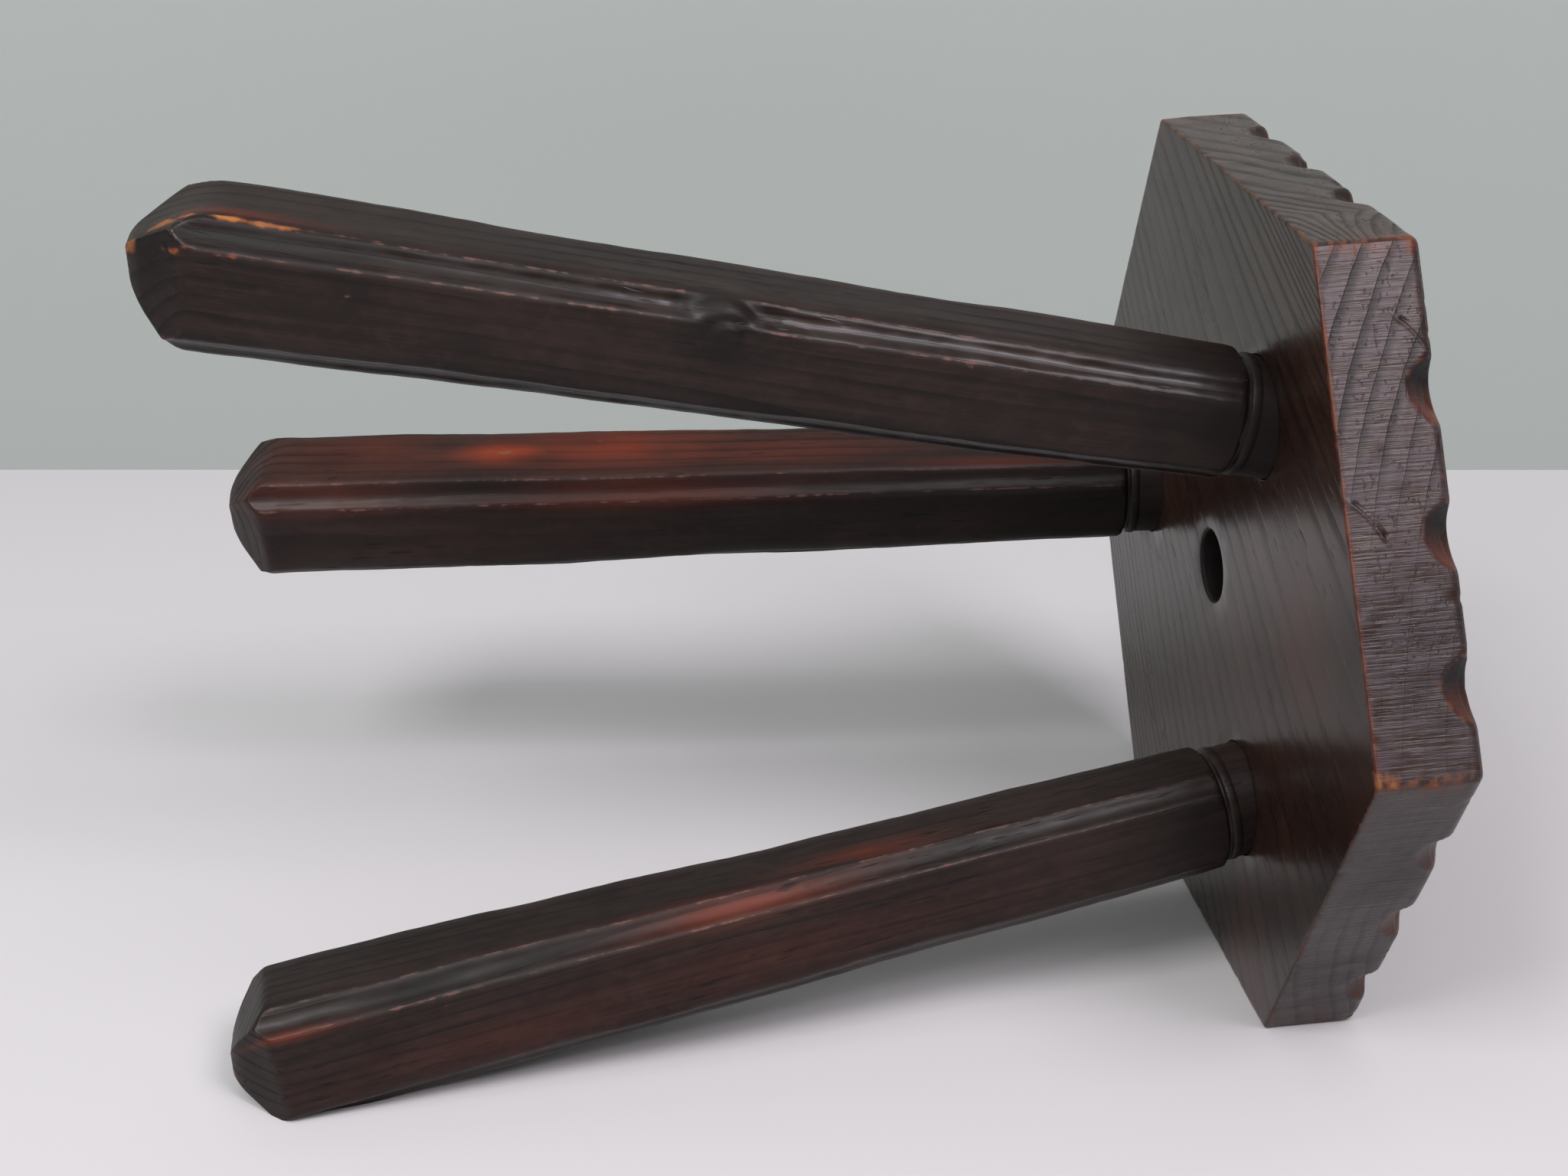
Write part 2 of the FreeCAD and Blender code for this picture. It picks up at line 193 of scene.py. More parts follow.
def ladder(rings):
    """Faces from each ring of point numbers to the next one."""
    faces = []
    for lower, upper in zip(rings, rings[1:]):
        for step in range(len(lower)):
            beside = (step + 1) % len(lower)
            faces.append((lower[step], lower[beside], upper[beside], upper[step]))
    return faces


def merge_and_smooth(mesh, gap=0.01 * MM):
    """Merges doubled points, drops faces that this closes, and shades the mesh softly."""
    work = bmesh.new()
    work.from_mesh(mesh)
    bmesh.ops.remove_doubles(work, verts=work.verts, dist=gap)
    bmesh.ops.dissolve_degenerate(work, edges=work.edges, dist=gap / 10)
    bmesh.ops.recalc_face_normals(work, faces=work.faces)
    loose = [vertex for vertex in work.verts if not vertex.link_faces]
    bmesh.ops.delete(work, geom=loose, context="VERTS")
    open_edges = sum(len(edge.link_faces) != 2 for edge in work.edges)
    work.to_mesh(mesh)
    work.free()
    mesh.shade_smooth()
    mesh.update()
    return open_edges


def new_object(name, data):
    piece = bpy.data.objects.new(name, data)
    bpy.context.scene.collection.objects.link(piece)
    return piece


def noise_at(points, scale, seed):
    """Soft noise from about -1 to 1 at each point, one bump per `scale` metres."""
    shift = Vector((seed * 7.31, seed * 3.17, seed * 5.53))
    return np.array([noise.noise(Vector(point) / scale + shift) for point in points])


def fade(distance, reach, start=1.0):
    """From start down to 0 over a reach, and never more than 1."""
    return np.clip(start - distance / reach, 0, 1)


def soft_min(first, second, blend):
    """The smaller of two arrays, with the corner between them rounded off."""
    share = np.clip(blend - np.abs(first - second), 0, None) / blend
    return np.minimum(first, second) - share * share * share * blend / 6


# %% [markdown]
# ## Legs: where they stand
#
# Each leg was bored by eye, so each leans by its own angle and towards its own side, and is
# turned on its own axis. The same angles stand in the solid model. A leg is made upright in
# its own frame, with its length along Z and an arris on X, and then put in place.

# %% Places of the legs
LEGS = {
    "right": {"bearing": 0, "splay": 12.5, "lean": -43, "turn": 25},
    "back": {"bearing": 120, "splay": 8.5, "lean": 119, "turn": 19},
    "front": {"bearing": 240, "splay": 7.0, "lean": 243, "turn": 31},
}
LEG_CIRCLE = 91 * MM


def leg_matrix(leg):
    """From a leg's own frame, Z down its length from the seat's underside, to the stool's."""
    angles = (math.radians(leg[key]) for key in ("bearing", "splay", "lean", "turn"))
    bearing, splay, lean, turn = angles
    under_seat = Vector((math.cos(bearing), math.sin(bearing), 0)) * LEG_CIRCLE
    under_seat.z = SEAT_UNDER
    turned = Matrix.Rotation(lean, 4, "Z") @ Matrix.Rotation(math.pi - splay, 4, "Y")
    return Matrix.Translation(under_seat) @ turned @ Matrix.Rotation(turn, 4, "Z")


for name, leg in LEGS.items():
    leg["matrix"] = leg_matrix(leg)
    leg["length"] = SEAT_UNDER / math.cos(math.radians(leg["splay"]))
    foot = leg["matrix"] @ Vector((0, 0, leg["length"]))
    print(name, "foot at", [round(value / MM) for value in foot])

# %% [markdown]
# ## Legs: a plain tube first
#
# A leg could be cut from a block with booleans, but its edges would then be hard and its
# faces uneven. Here it starts as a tube of rings. Every point only knows how far round and
# how far along it lies, how wide the turned end is there, and how much of it is already
# square. Rings crowd where the form changes: at the bead, the shoulder and the foot.

# %% Rings of the tube
SHOULDER = 12 * MM
NECK = 21.75 * MM
GROOVE = 20.6 * MM
BEAD = 0.5 * MM
BEAD_HALF = 1.9 * MM
GROOVE_TOP = SHOULDER - 1.6 * MM
BEVEL = 18 * MM
FLAT_STEPS = 9
RIM_STEPS = 5
COVE_STEPS = 11
RIM_FROM = 10.4
RIM_TO = 14.0
END_SHARES = (0.02, 0.3, 0.6, 0.85, 0.97, 1)
SHAFT_RINGS = 220
FOOT_ZONE = 12 * MM
FOOT_STEP = 0.7 * MM
PAST_FLOOR = 6.9 * MM
PAST_TOP = 6 * MM


def angles_round():
    """Angles round the leg, from one arris to the next, crowded at the coves' rims."""
    half = list(np.linspace(0, RIM_FROM, COVE_STEPS // 2 + 1))[:-1]
    half += list(np.linspace(RIM_FROM, RIM_TO, RIM_STEPS))
    half += list(np.linspace(RIM_TO, 45, FLAT_STEPS))[1:]
    quarter = half + [90 - turn for turn in half[-2:0:-1]]
    return np.radians([corner * 90 + turn for corner in range(4) for turn in quarter])


def rings_along(length, top):
    """(along, turned radius, share of the square section) of every ring, tenon end first."""
    rings = [(top, NECK * share, 0) for share in END_SHARES]
    rings += [(along, NECK, 0) for along in np.linspace(top, -2 * MM, 8)[1:]]
    rings += [(along, NECK, 0) for along in np.linspace(0, GROOVE_TOP - 2.2 * BEAD_HALF, 5)]
    for share in np.linspace(-1, 1, 7):
        bulge = math.sqrt(max(1 - share * share, 0))
        rings.append((GROOVE_TOP - BEAD_HALF * (1 - share), NECK + BEAD * bulge, 0))
    rings += [(GROOVE_TOP, GROOVE, 0), (SHOULDER, GROOVE, 0)]
    rings += [(SHOULDER, GROOVE, share) for share in (0.3, 0.6, 0.85, 0.95)]
    rings += [(SHOULDER + 0.15 * MM, GROOVE, 0.985), (SHOULDER + 0.5 * MM, GROOVE, 1)]
    fine = length - BEVEL - FOOT_ZONE
    rings += [(along, GROOVE, 1) for along in np.linspace(SHOULDER + 1.2 * MM, fine, SHAFT_RINGS)]
    foot = np.arange(fine + 0.8 * MM, length + PAST_FLOOR, FOOT_STEP)
    rings += [(along, GROOVE, 1) for along in foot]
    return rings


def leg_tube(name, leg):
    """The tube's mesh, with `around`, `along`, `turned` and `square` kept on its points."""
    around = angles_round()
    top = -(THICKNESS + PAST_TOP) / math.cos(math.radians(leg["splay"]))
    rings = rings_along(leg["length"], top)
    count = len(around)
    angle = np.tile(around, len(rings))
    along, turned, square = (np.repeat([ring[place] for ring in rings], count) for place in range(3))
    points = np.column_stack([np.cos(angle) * turned, np.sin(angle) * turned, along])
    rows = np.arange(len(points)).reshape(-1, count).tolist()
    faces = ladder(rows)

    # A point on the axis closes each end
    ends = np.array([rings[0][0], rings[-1][0]])
    for pole, row in enumerate((rows[0], rows[-1])):
        for step in range(count):
            faces.append((len(points) + pole, row[step], row[(step + 1) % count]))
    points = np.vstack([points, [(0, 0, end) for end in ends]])
    mesh = bpy.data.meshes.new(f"leg_{name}_tube")
    mesh.from_pydata(points, [], faces)
    store(mesh, "along", np.append(along, ends))
    for key, values in (("around", angle), ("turned", turned), ("square", square)):
        store(mesh, key, np.append(values, (0, 0)))
    return mesh


# %% [markdown]
# ## Legs: the section as a rule
#
# The section of the shaft follows one rule all the way down: a square that slowly widens,
# with a round cove over each arris, cut back by four bevels at the foot. A rule like that
# suits Geometry Nodes, because one tree with named sizes then makes all three legs. For each
# point the tree works out three distances from the leg's axis, to the square's face, to the
# bevel and to the cove, and keeps the smallest. A soft minimum rounds the worn arrises.

# %% Sizes of a leg's section
LEG_SIZES = {
    "half width at shoulder": 21 * MM,
    "half width at foot": 25.75 * MM,
    "half width of tip": 7 * MM,
    "shoulder at": SHOULDER,
    "cove radius at shoulder": 6.4 * MM,
    "cove radius at foot": 8.4 * MM,
    "cove past bevel": 17 * MM,
    "round of shoulder": 5 * MM,
    "wear of rims": 1.0 * MM,
    "wear of foot": 4.0 * MM,
    "more wear of foot": 15.0 * MM,
    "worn side": 150.0,
    "waves": 0.9 * MM,
    "tool marks": 0.22 * MM,
    "knot at": 200 * MM,
    "knot turn": 84.0,
    "knot height": 0.0,
    "polish": 1.0,
}
DEGREE = math.radians(1)
QUARTER = math.pi / 2
KNOT_LONG = 16 * MM
KNOT_WIDE = 0.58
KNOT_FLOOR = 19 * MM
SCAR_OFF = 3 * MM
SCAR_LONG = 7 * MM
SCAR_TURN = 0.22
SCAR_WIDE = 0.20
ARRIS_CAP = 0.815
SOFT_CAP = 2.0 * MM
NEAR_RIM = 2.2 * MM
NEAR_COVE = 1.5 * MM
NEAR_BEVEL = 1.8 * MM

# Heights of the uneven parts, in mm
CHIP_DEPTH = 0.7
NIBBLES = 0.6
RIPPLE = 2.4
SHOULDER_SWAY = 3


def kept(tree, name):
    """A value that the points carry, inside a Geometry Nodes tree."""
    kind = "GeometryNodeInputNamedAttribute"
    return node_of(tree, kind, {"Name": name}, "Attribute", data_type="FLOAT")


def keep(geometry, name, value):
    """Keeps a value on the points, and hands the geometry on."""
    inputs = {"Geometry": geometry, "Name": name, "Value": value}
    kind = "GeometryNodeStoreNamedAttribute"
    return node_of(geometry.tree, kind, inputs, "Geometry", data_type="FLOAT")


# %% [markdown]
# The tree reads from top to bottom: the noise, the knot, the square shaft with its bevels,
# the cove, and then the smallest of them. It ends with the values that the finish needs.

# %% The tree for a leg's section
def leg_tree():
    tree = bpy.data.node_groups.new("leg_section", "GeometryNodeTree")
    tree.interface.new_socket("Tube", in_out="INPUT", socket_type="NodeSocketGeometry")
    tree.interface.new_socket("Leg", in_out="OUTPUT", socket_type="NodeSocketGeometry")
    tree.interface.new_socket("Finish", in_out="INPUT", socket_type="NodeSocketMaterial")
    for size in (*LEG_SIZES, "bevel at", "floor at", "seed"):
        tree.interface.new_socket(size, in_out="INPUT", socket_type="NodeSocketFloat")
    inputs = tree.nodes.new("NodeGroupInput")
    size = {output.name: Flow(tree, output) for output in inputs.outputs if output.name}
    carried_in = (kept(tree, key) for key in ("around", "along", "turned", "square"))
    around, along, turned, square = carried_in
    start, bevel_at, floor_at = (size[key] for key in ("shoulder at", "bevel at", "floor at"))
    narrow, wide = size["half width at shoulder"], size["half width at foot"]
    knot_at, knot_height = size["knot at"], size["knot height"]
    cosine = around.math("COSINE")
    sine = around.math("SINE")

    def bumps(wide, long, detail=2, shift=0.0):
        """Noise with so many bumps round the leg and so many a metre along it."""
        place = vector(tree, cosine * wide + shift, sine * wide, along * long + size["seed"])
        return clouds(place, detail)

    # Slow waves, short tool marks and chips
    slow = bumps(0.6, 11, detail=1)
    short = bumps(2.2, 55)
    sharp = bumps(3, 130)
    nibble = bumps(3, 75, shift=5.0)
    uneven = (slow - 0.5) * size["waves"] * 2 + (short - 0.5) * size["tool marks"] * 2
    chips = sharp.ramp(0.60, 0.72) * CHIP_DEPTH * MM

    # A knot is a lump in the cove, with a round scar beside it
    knot_turn = size["knot turn"] * DEGREE
    up_leg = (along - knot_at) / KNOT_LONG
    round_leg = (around - knot_turn) / KNOT_WIDE
    from_knot = up_leg * up_leg + round_leg * round_leg + (sharp - 0.5) * 0.3
    dome = (1 - from_knot).above(0).root()
    lump = dome * knot_height + (short - 0.5) * RIPPLE * MM + KNOT_FLOOR
    crease = ((from_knot.above(0).root() - 1.12) / 0.12).bell() * knot_height * 0.02
    scar_up = (along - knot_at + SCAR_OFF) / SCAR_LONG
    scar_round = (around - knot_turn + SCAR_TURN) / SCAR_WIDE
    scar = (((scar_up * scar_up + scar_round * scar_round).root() - 1) / 0.28).bell()
    scar = scar * knot_height * 0.09
    crease = crease + scar

    # The square shaft and the bevels at its foot
    run = (along - start) / (bevel_at - start)
    half = narrow + (wide - narrow) * run + uneven
    fall = (along - bevel_at) / (floor_at - bevel_at)
    bevel = wide - (wide - size["half width of tip"]) * fall
    bevel = (bevel + uneven * 0.6).above(0.01 * MM)
    towards_wear = (around - size["worn side"] * DEGREE).math("COSINE").above(0)
    foot_wear = size["wear of foot"] + size["more wear of foot"] * towards_wear * towards_wear
    face = half.math("SMOOTH_MIN", bevel, foot_wear) - crease
    from_arris = (around + QUARTER / 2).math("FLOORED_MODULO", QUARTER) - QUARTER / 2
    flat = face / (QUARTER / 2 - from_arris.absolute()).math("COSINE")

    # The cove is a circle about the arris that runs out into the bevel
    cove_end = bevel_at + size["cove past bevel"]
    widest = size["cove radius at foot"]
    cove = size["cove radius at shoulder"] + (widest - size["cove radius at shoulder"]) * run
    cove = cove + (short - 0.5) * size["tool marks"] * 2 + (nibble - 0.5) * NIBBLES * MM
    past = (along - (cove_end - widest)).above(0)
    cove = (cove - past * 0.6 - past * past * 0.4 / widest).above(0)
    wander = (clouds(vector(tree, 0.5, size["seed"], along * 9), 1) - 0.5) * 0.05
    aside = (from_arris + wander).absolute()
    arris = half * math.sqrt(2)
    sideways = arris * aside.math("SINE")
    depth = (cove * cove - sideways * sideways).above(0).root()
    beyond = (sideways - cove).above(0) * 3
    hollow = arris * aside.math("COSINE") - depth + beyond - crease

    # The smallest of them, with a worn shoulder and chipped rims, and the knot over it all
    section = flat.math("SMOOTH_MIN", hollow, size["wear of rims"])
    shoulder = size["round of shoulder"]
    into = (shoulder - (along - start)).above(0)
    edge = narrow + (shoulder * shoulder - into * into).above(0).root()
    edge = edge + (slow - 0.5) * SHOULDER_SWAY * MM
    edge = edge + (along - start - shoulder).above(0) * 0.8
    section = section.math("SMOOTH_MIN", edge, 1.5 * MM)
    near_rim = 1 - ((flat - hollow) / NEAR_RIM).absolute().below(1)
    section = section - chips * near_rim
    section = section.math("SMOOTH_MIN", arris * ARRIS_CAP + uneven, SOFT_CAP)
    lump = (lump - scar) * dome.ramp(0.0, 0.05)
    section = section.math("SMOOTH_MAX", lump, SOFT_CAP)
    reach = turned * (1 - square) + section * square
    place = vector(tree, reach * cosine, reach * sine, along)
    moved = {"Geometry": size["Tube"], "Position": place}
    leg = node_of(tree, "GeometryNodeSetPosition", moved, "Geometry")

    # What the finish needs: nearness to a rim, and whether the point lies in a cove
    near_cove = 1 - ((flat - hollow) / NEAR_COVE).absolute().below(1)
    near_bevel = 1 - ((half - bevel) / NEAR_BEVEL).absolute().below(1)
    by_bevel = near_bevel * 0.25 * (flat - hollow).math("LESS_THAN", 0)
    leg = keep(leg, "rim", near_cove.above(by_bevel) * square * dome.ramp(0.5, 0.1))
    inside = ((flat - hollow) / NEAR_COVE).part() * square
    leg = keep(leg, "polish", inside * (1 - dome.ramp(0.1, 0.5) * 0.6) * size["polish"])
    leg = node_of(tree, "GeometryNodeRealizeInstances", {"Geometry": leg}, "Geometry")
    finished = {"Geometry": leg, "Material": size["Finish"]}
    leg = node_of(tree, "GeometryNodeSetMaterial", finished, "Geometry")
    plug_into(tree.nodes.new("NodeGroupOutput"), {"Leg": leg})
    return tree


LEG_TREE = leg_tree()
print("leg tree:", len(LEG_TREE.nodes), "nodes")

# %% Run the tree on a tube
LEG_WHIMS = {
    "right": {"knot height": 10 * MM, "seed": 1.3},
    "back": {"worn side": 20.0, "more wear of foot": 2 * MM, "seed": 5.3, "polish": 0.3},
    "front": {"worn side": 85.0, "seed": 9.3, "polish": 0.2},
}
BEVELS = {"right": 22 * MM, "back": BEVEL, "front": BEVEL}


def shaped_leg(name, leg, finish):
    """The leg as a plain mesh in its own frame."""
    piece = new_object(f"leg_{name}_shape", leg_tube(name, leg))
    modifier = piece.modifiers.new("section", "NODES")
    modifier.node_group = LEG_TREE
    sizes = {**LEG_SIZES, **LEG_WHIMS[name], "Finish": finish}
    sizes["bevel at"] = leg["length"] - BEVELS[name]
    sizes["floor at"] = leg["length"]
    for socket in LEG_TREE.interface.items_tree:
        if socket.name in sizes:
            modifier[socket.identifier] = sizes[socket.name]
    graph = bpy.context.evaluated_depsgraph_get()
    mesh = bpy.data.meshes.new_from_object(
        piece.evaluated_get(graph), preserve_all_data_layers=True, depsgraph=graph
    )
    bpy.data.objects.remove(piece)
    return mesh


# %% [markdown]
# ## Wood under dark stain and wax
#
# The stool is coarse ringed timber, stained nearly black and waxed, and the stain has worn
# through to red and ochre along its edges. An image of wood would stop at the edges of a
# face. A solid pattern doesn't: the rings are cylinders about a pith line that lies beside
# the board, so the same ring runs over an edge from the underside to the side, as in real
# timber. The fibres are noise stretched along the grain, which turns to dots in end grain.

# %% Helpers for a finish
def blank_finish(name):
    """A new finish, its tree and its shader."""
    material = bpy.data.materials.new(name)
    material.use_nodes = True
    return material, material.node_tree, material.node_tree.nodes["Principled BSDF"]


def colour_mix(share, first, second):
    """One colour over another, where share is from 0 to 1."""
    return node_of(share.tree, "ShaderNodeMix", {0: share, 6: first, 7: second}, 2, data_type="RGBA")


def carried(tree, name, output="Fac"):
    """A value that the points carry, inside a shader tree."""
    return node_of(tree, "ShaderNodeAttribute", {}, output, attribute_name=name)


# %% [markdown]
# Two blows have left slanting creases on one side of the seat. They are shallow, so the
# finish draws them: each is a sagging line, and the finish works out how far a point lies
# from it, which gives a groove in the relief, darkened with painted shade, and a raised lip
# beside it.

# %% Creases on the seat's second side
# From (along the side, height) to (along, height), in mm
GOUGES = ((86.5, 3.5, 98.1, 12.7), (26.8, 26.8, 37.9, 35.3))
CREASE_SAG = 6 * MM
CREASE_SPREAD = 0.35 * MM * MM
LIP_OFF = 1.3 * MM
LIP_SPREAD = 0.5 * MM * MM
LIP_REACH = 1.6 * MM
CREASE_WANDER = 0.6  # mm


def gouge_marks(round_rim, height_up, wobble, on_side):
    """Two creases struck across the seat's second side, and the lips raised beside them."""
    groove = lip = on_side * 0
    for start, low, end, high in GOUGES:
        run = (end - start) * MM
        rise = (high - low) * MM
        right = round_rim - (CORNER + start * MM)
        up = height_up - low * MM
        share = ((right * run + up * rise) / (run * run + rise * rise)).part()
        off = right - share * run - (share * share - share) * CREASE_SAG
        up_off = up - share * rise
        gap = (off * off + up_off * up_off).root() + (wobble - 0.5) * CREASE_WANDER * MM
        beside = (off * rise - up_off * run) / math.hypot(run, rise) - LIP_OFF
        bank = beside.bell(LIP_SPREAD) * (gap / -LIP_REACH).math("EXPONENT") * 2
        groove = groove.above(gap.bell(CREASE_SPREAD) * on_side)
        lip = lip.above(bank * on_side)
    return groove, lip


# %% [markdown]
# The finish builds the grain from the largest thing to the smallest: the growth rings, the
# fibres and pores, and the clouds in the stain. Wear and stain then choose the colours, one
# thin layer over another, together with painted shade in the creases and dark values and a
# partly painted sheen on the sawn sides, and the same values drive the roughness and the
# relief. The size of the noise is given in bumps a metre.

# %% The wood finish
SAWN_RINGS = 6.8 * MM
QUIET_MIDDLE = (0.150, 0.172)
BUNDLE_RINGS = 4.5


def wood(name, spacing, seed, tones, shine, bundle=None, relief=1.0, packed=False):
    """Ringed timber under stain, wax and wear.

    The rings crowd between the two radii of `bundle`, `relief` is how clearly they show, and
    a `packed` solid carries no values of its own.
    """
    material, tree, shader = blank_finish(name)
    plain_rough, polished_rough, gloss, fine = shine
    if packed:
        across, deep, along = parts_of(node_of(tree, "ShaderNodeTexCoord", {}, "Object"))
        radius = across + deep * 0.4
    else:
        across, deep, along = parts_of(carried(tree, "wood", "Vector"))
        radius = carried(tree, "rings")
    red, ochre, dark, rim = (carried(tree, key) for key in ("red", "ochre", "dark", "rim"))

    def timber(wide, long, detail=2, roughness=0.5, shifted=2):
        """Noise with so many bumps a metre across the grain and along it."""
        place = [across * wide, deep * wide, along * long]
        if shifted is not None:
            place[shifted] = place[shifted] + seed
        return clouds(vector(tree, *place), detail, roughness)

    # Saw marks across the sides: `edge` carries (place round the rim, height, 1 on a side)
    round_rim, height_up, on_side = parts_of(carried(tree, "edge", "Vector"))
    saw = clouds(vector(tree, round_rim * 850, height_up * 32, 0.0), 3, 0.65)
    scuff = clouds(vector(tree, round_rim * 160, height_up * 110, 4.0), 3, 0.6)
    groove, lip = gouge_marks(round_rim, height_up, scuff, on_side)
    sawn = on_side.ramp(0.5, 0.9)

    # Growth rings: each darkens towards its end, and then stops short
    sway = timber(14, 3.0, shifted=0)
    bend = timber(60, 12, shifted=1)
    radius = radius + (sway - 0.5) * (0.016 - 0.008 * relief) + (bend - 0.5) * 0.0016
    pace = clouds(vector(tree, radius * 60, seed, 0.0), 0)
    count = radius / spacing + pace * 0.9
    if bundle:
        count = count + radius.ramp(*bundle) * BUNDLE_RINGS
        count = count * (1 - sawn) + radius / SAWN_RINGS * sawn
    ring = count.math("FRACT")
    strong = clouds(vector(tree, count.math("FLOOR") * 3.7, seed, along * 4), 0).ramp(0.25, 0.65)
    late = ring.ramp(0.5, 0.93) * (1 - ring.ramp(0.965, 1.0)) * (strong * 0.6 + 0.4)
    fainter = round_rim.ramp(0.235, 0.285) * 0.85 - round_rim.ramp(0.43, 0.47) * 0.4
    late = late * (1 - sawn * fainter)
    if bundle:
        late = late * (1 - (1 - sawn) * (1 - radius.ramp(*QUIET_MIDDLE)) * 0.5)
    late = late * (timber(34, 9, 1).ramp(0.42, 0.58) * (1 - relief) + relief)
    late = late * (1 - red.ramp(0.1, 0.6) * 0.8)

    # Fibres, open pores and the cloudiness of the stain
    speck = timber(260, 200, shifted=None)
    fibre = timber(1100, 30)
    streak = timber(260, 20, 3)
    pore = timber(600, 70, 1, shifted=None).ramp(0.62, 0.72)
    pore = pore * timber(20, 9, 1, shifted=None).ramp(0.45, 0.6)
    cloud = timber(26, 14, 4, 0.6)
    blot = timber(70, 45, 3, 0.6)

    # Wear: a rim that is rubbed pale, and bare wood in spots and streaks where it is ochre
    worn = (rim + (blot - 0.5) * 1.6 + (speck - 0.5) * 2.2 - 0.63).ramp(0.0, 0.5)
    bare = ochre * 1.7 + (streak - 0.5) * 1.6 + (speck - 0.5) * 1.6 + (blot - 0.5) * 1.6 - 0.45
    bare = bare.ramp(0.0, 1.1) * ochre.ramp(0.02, 0.2)

    # The colour, one thin layer over another
    layers = (
        (streak.ramp(0.4, 0.75) * 0.5, "pale"),
        (fibre.ramp(0.45, 0.7) * 0.35 * (1 - on_side), "pale"),
        (speck.ramp(0.45, 0.75) * 0.4, "pale"),
        (blot.ramp(0.45, 0.7) * 0.6, "deep"),
        # Partly painted sheen: the lilac side tone stands in for the lamp's sheen on the sawn sides,
        # broken up by the saw marks and scuffs.
        (on_side * (scuff * 0.6 + saw * 0.6).ramp(0.45, 0.8), "side"),
        ((red * (streak * 0.9 + blot * 0.9 + 0.15)).below(1), "red"),
        (late * (0.55 + 0.3 * relief), "late"),
        (pore * (0.7 - 0.45 * on_side), "soot_and_shade"),
        (worn * 0.65, "worn"),
        (bare.ramp(0.0, 0.45), "scuffed"),
        (bare.ramp(0.3, 1.0) * 0.85, "bare"),
        (bare * (fibre * 0.7 + streak * 0.6).ramp(0.6, 0.75) * 0.7, "worn"),
        # The dark values are partly stain and partly painted shade.
        ((dark * 0.95).below(0.95), "soot_and_shade"),
        # Painted shade in the creases.
        (groove * 0.9, "soot_and_shade"),
    )
    colours = {tone: (*colour, 1) for tone, colour in tones.items()}
    base = colour_mix(cloud.ramp(0.3, 0.7), colours["deep"], colours["plain"])
    for share, tone in layers:
        base = colour_mix(share, base, colours[tone])

    dull = plain_rough + (polished_rough - plain_rough) * carried(tree, "polish")
    rough = dull + fibre * 0.06 + blot * 0.10 + bare * 0.25 + pore * 0.15 + late * 0.15
    rough = rough + on_side * (0.10 + (scuff - 0.5) * 0.35) + worn * 0.15
    rough = rough + dark.ramp(0.5, 0.95) * 0.3

    # The relief of the grain, the saw marks and the creases
    height = fibre * fine + streak * 0.14 - pore * 0.4 + blot * fine * 4
    height = height - groove * 3 + lip * 1.5
    height = height - late * 1.1 * relief + on_side * (saw * 1.5 + scuff * 0.5)
    inputs = {"Strength": 0.8, "Distance": 0.2 * MM, "Height": height}
    bump = node_of(tree, "ShaderNodeBump", inputs, "Normal")
    plug_into(shader, {
        "Base Color": base,
        "Roughness": rough,
        "Specular IOR Level": gloss,
        "Coat Weight": 0.04,
        "Coat Roughness": 0.2,
        "Normal": bump,
        "Coat Normal": bump,
    })
    return material


# %% Tones and finishes
SEAT_TONES = {
    "deep": (0.017, 0.007, 0.0045),
    "plain": (0.037, 0.0160, 0.0095),
    "pale": (0.052, 0.027, 0.020),
    # The side tone is lilac: partly the scuffed sawn face, partly painted sheen.
    "side": (0.056, 0.039, 0.046),
    "red": (0.095, 0.018, 0.009),
    "late": (0.004, 0.0025, 0.0025),
    "worn": (0.140, 0.052, 0.027),
    "scuffed": (0.120, 0.036, 0.014),
    "bare": (0.320, 0.115, 0.030),
    "soot_and_shade": (0.003, 0.002, 0.002),
}
LEG_TONES = dict(
    SEAT_TONES,
    deep=(0.008, 0.0042, 0.0034),
    plain=(0.018, 0.0092, 0.0075),
    pale=(0.030, 0.0160, 0.0125),
    red=(0.200, 0.028, 0.008),
    worn=(0.160, 0.078, 0.060),
    scuffed=(0.160, 0.042, 0.014),
    bare=(0.460, 0.185, 0.045),
)
WEDGE_TONES = dict(SEAT_TONES, deep=(0.06, 0.03, 0.018), plain=(0.10, 0.055, 0.03))

# A finish has the width of a growth ring, a seed, its tones and its shine. The shine is
# (roughness of a plain face, roughness where polished, strength of reflections, height of
# the fine grain)
CROWDED = (0.172, 0.187)
SEAT_FINISH = wood("seat_wood", 4.4 * MM, 3.0, SEAT_TONES, (0.14, 0.14, 0.28, 0.04), CROWDED)
LEG_FINISH = wood("leg_wood", 5.0 * MM, 8.0, LEG_TONES, (0.40, 0.13, 0.20, 0.10), relief=0.4)
WEDGE_FINISH = wood("wedge_wood", 1.6 * MM, 5.0, WEDGE_TONES, (0.35, 0.35, 0.3, 0.05), packed=True)
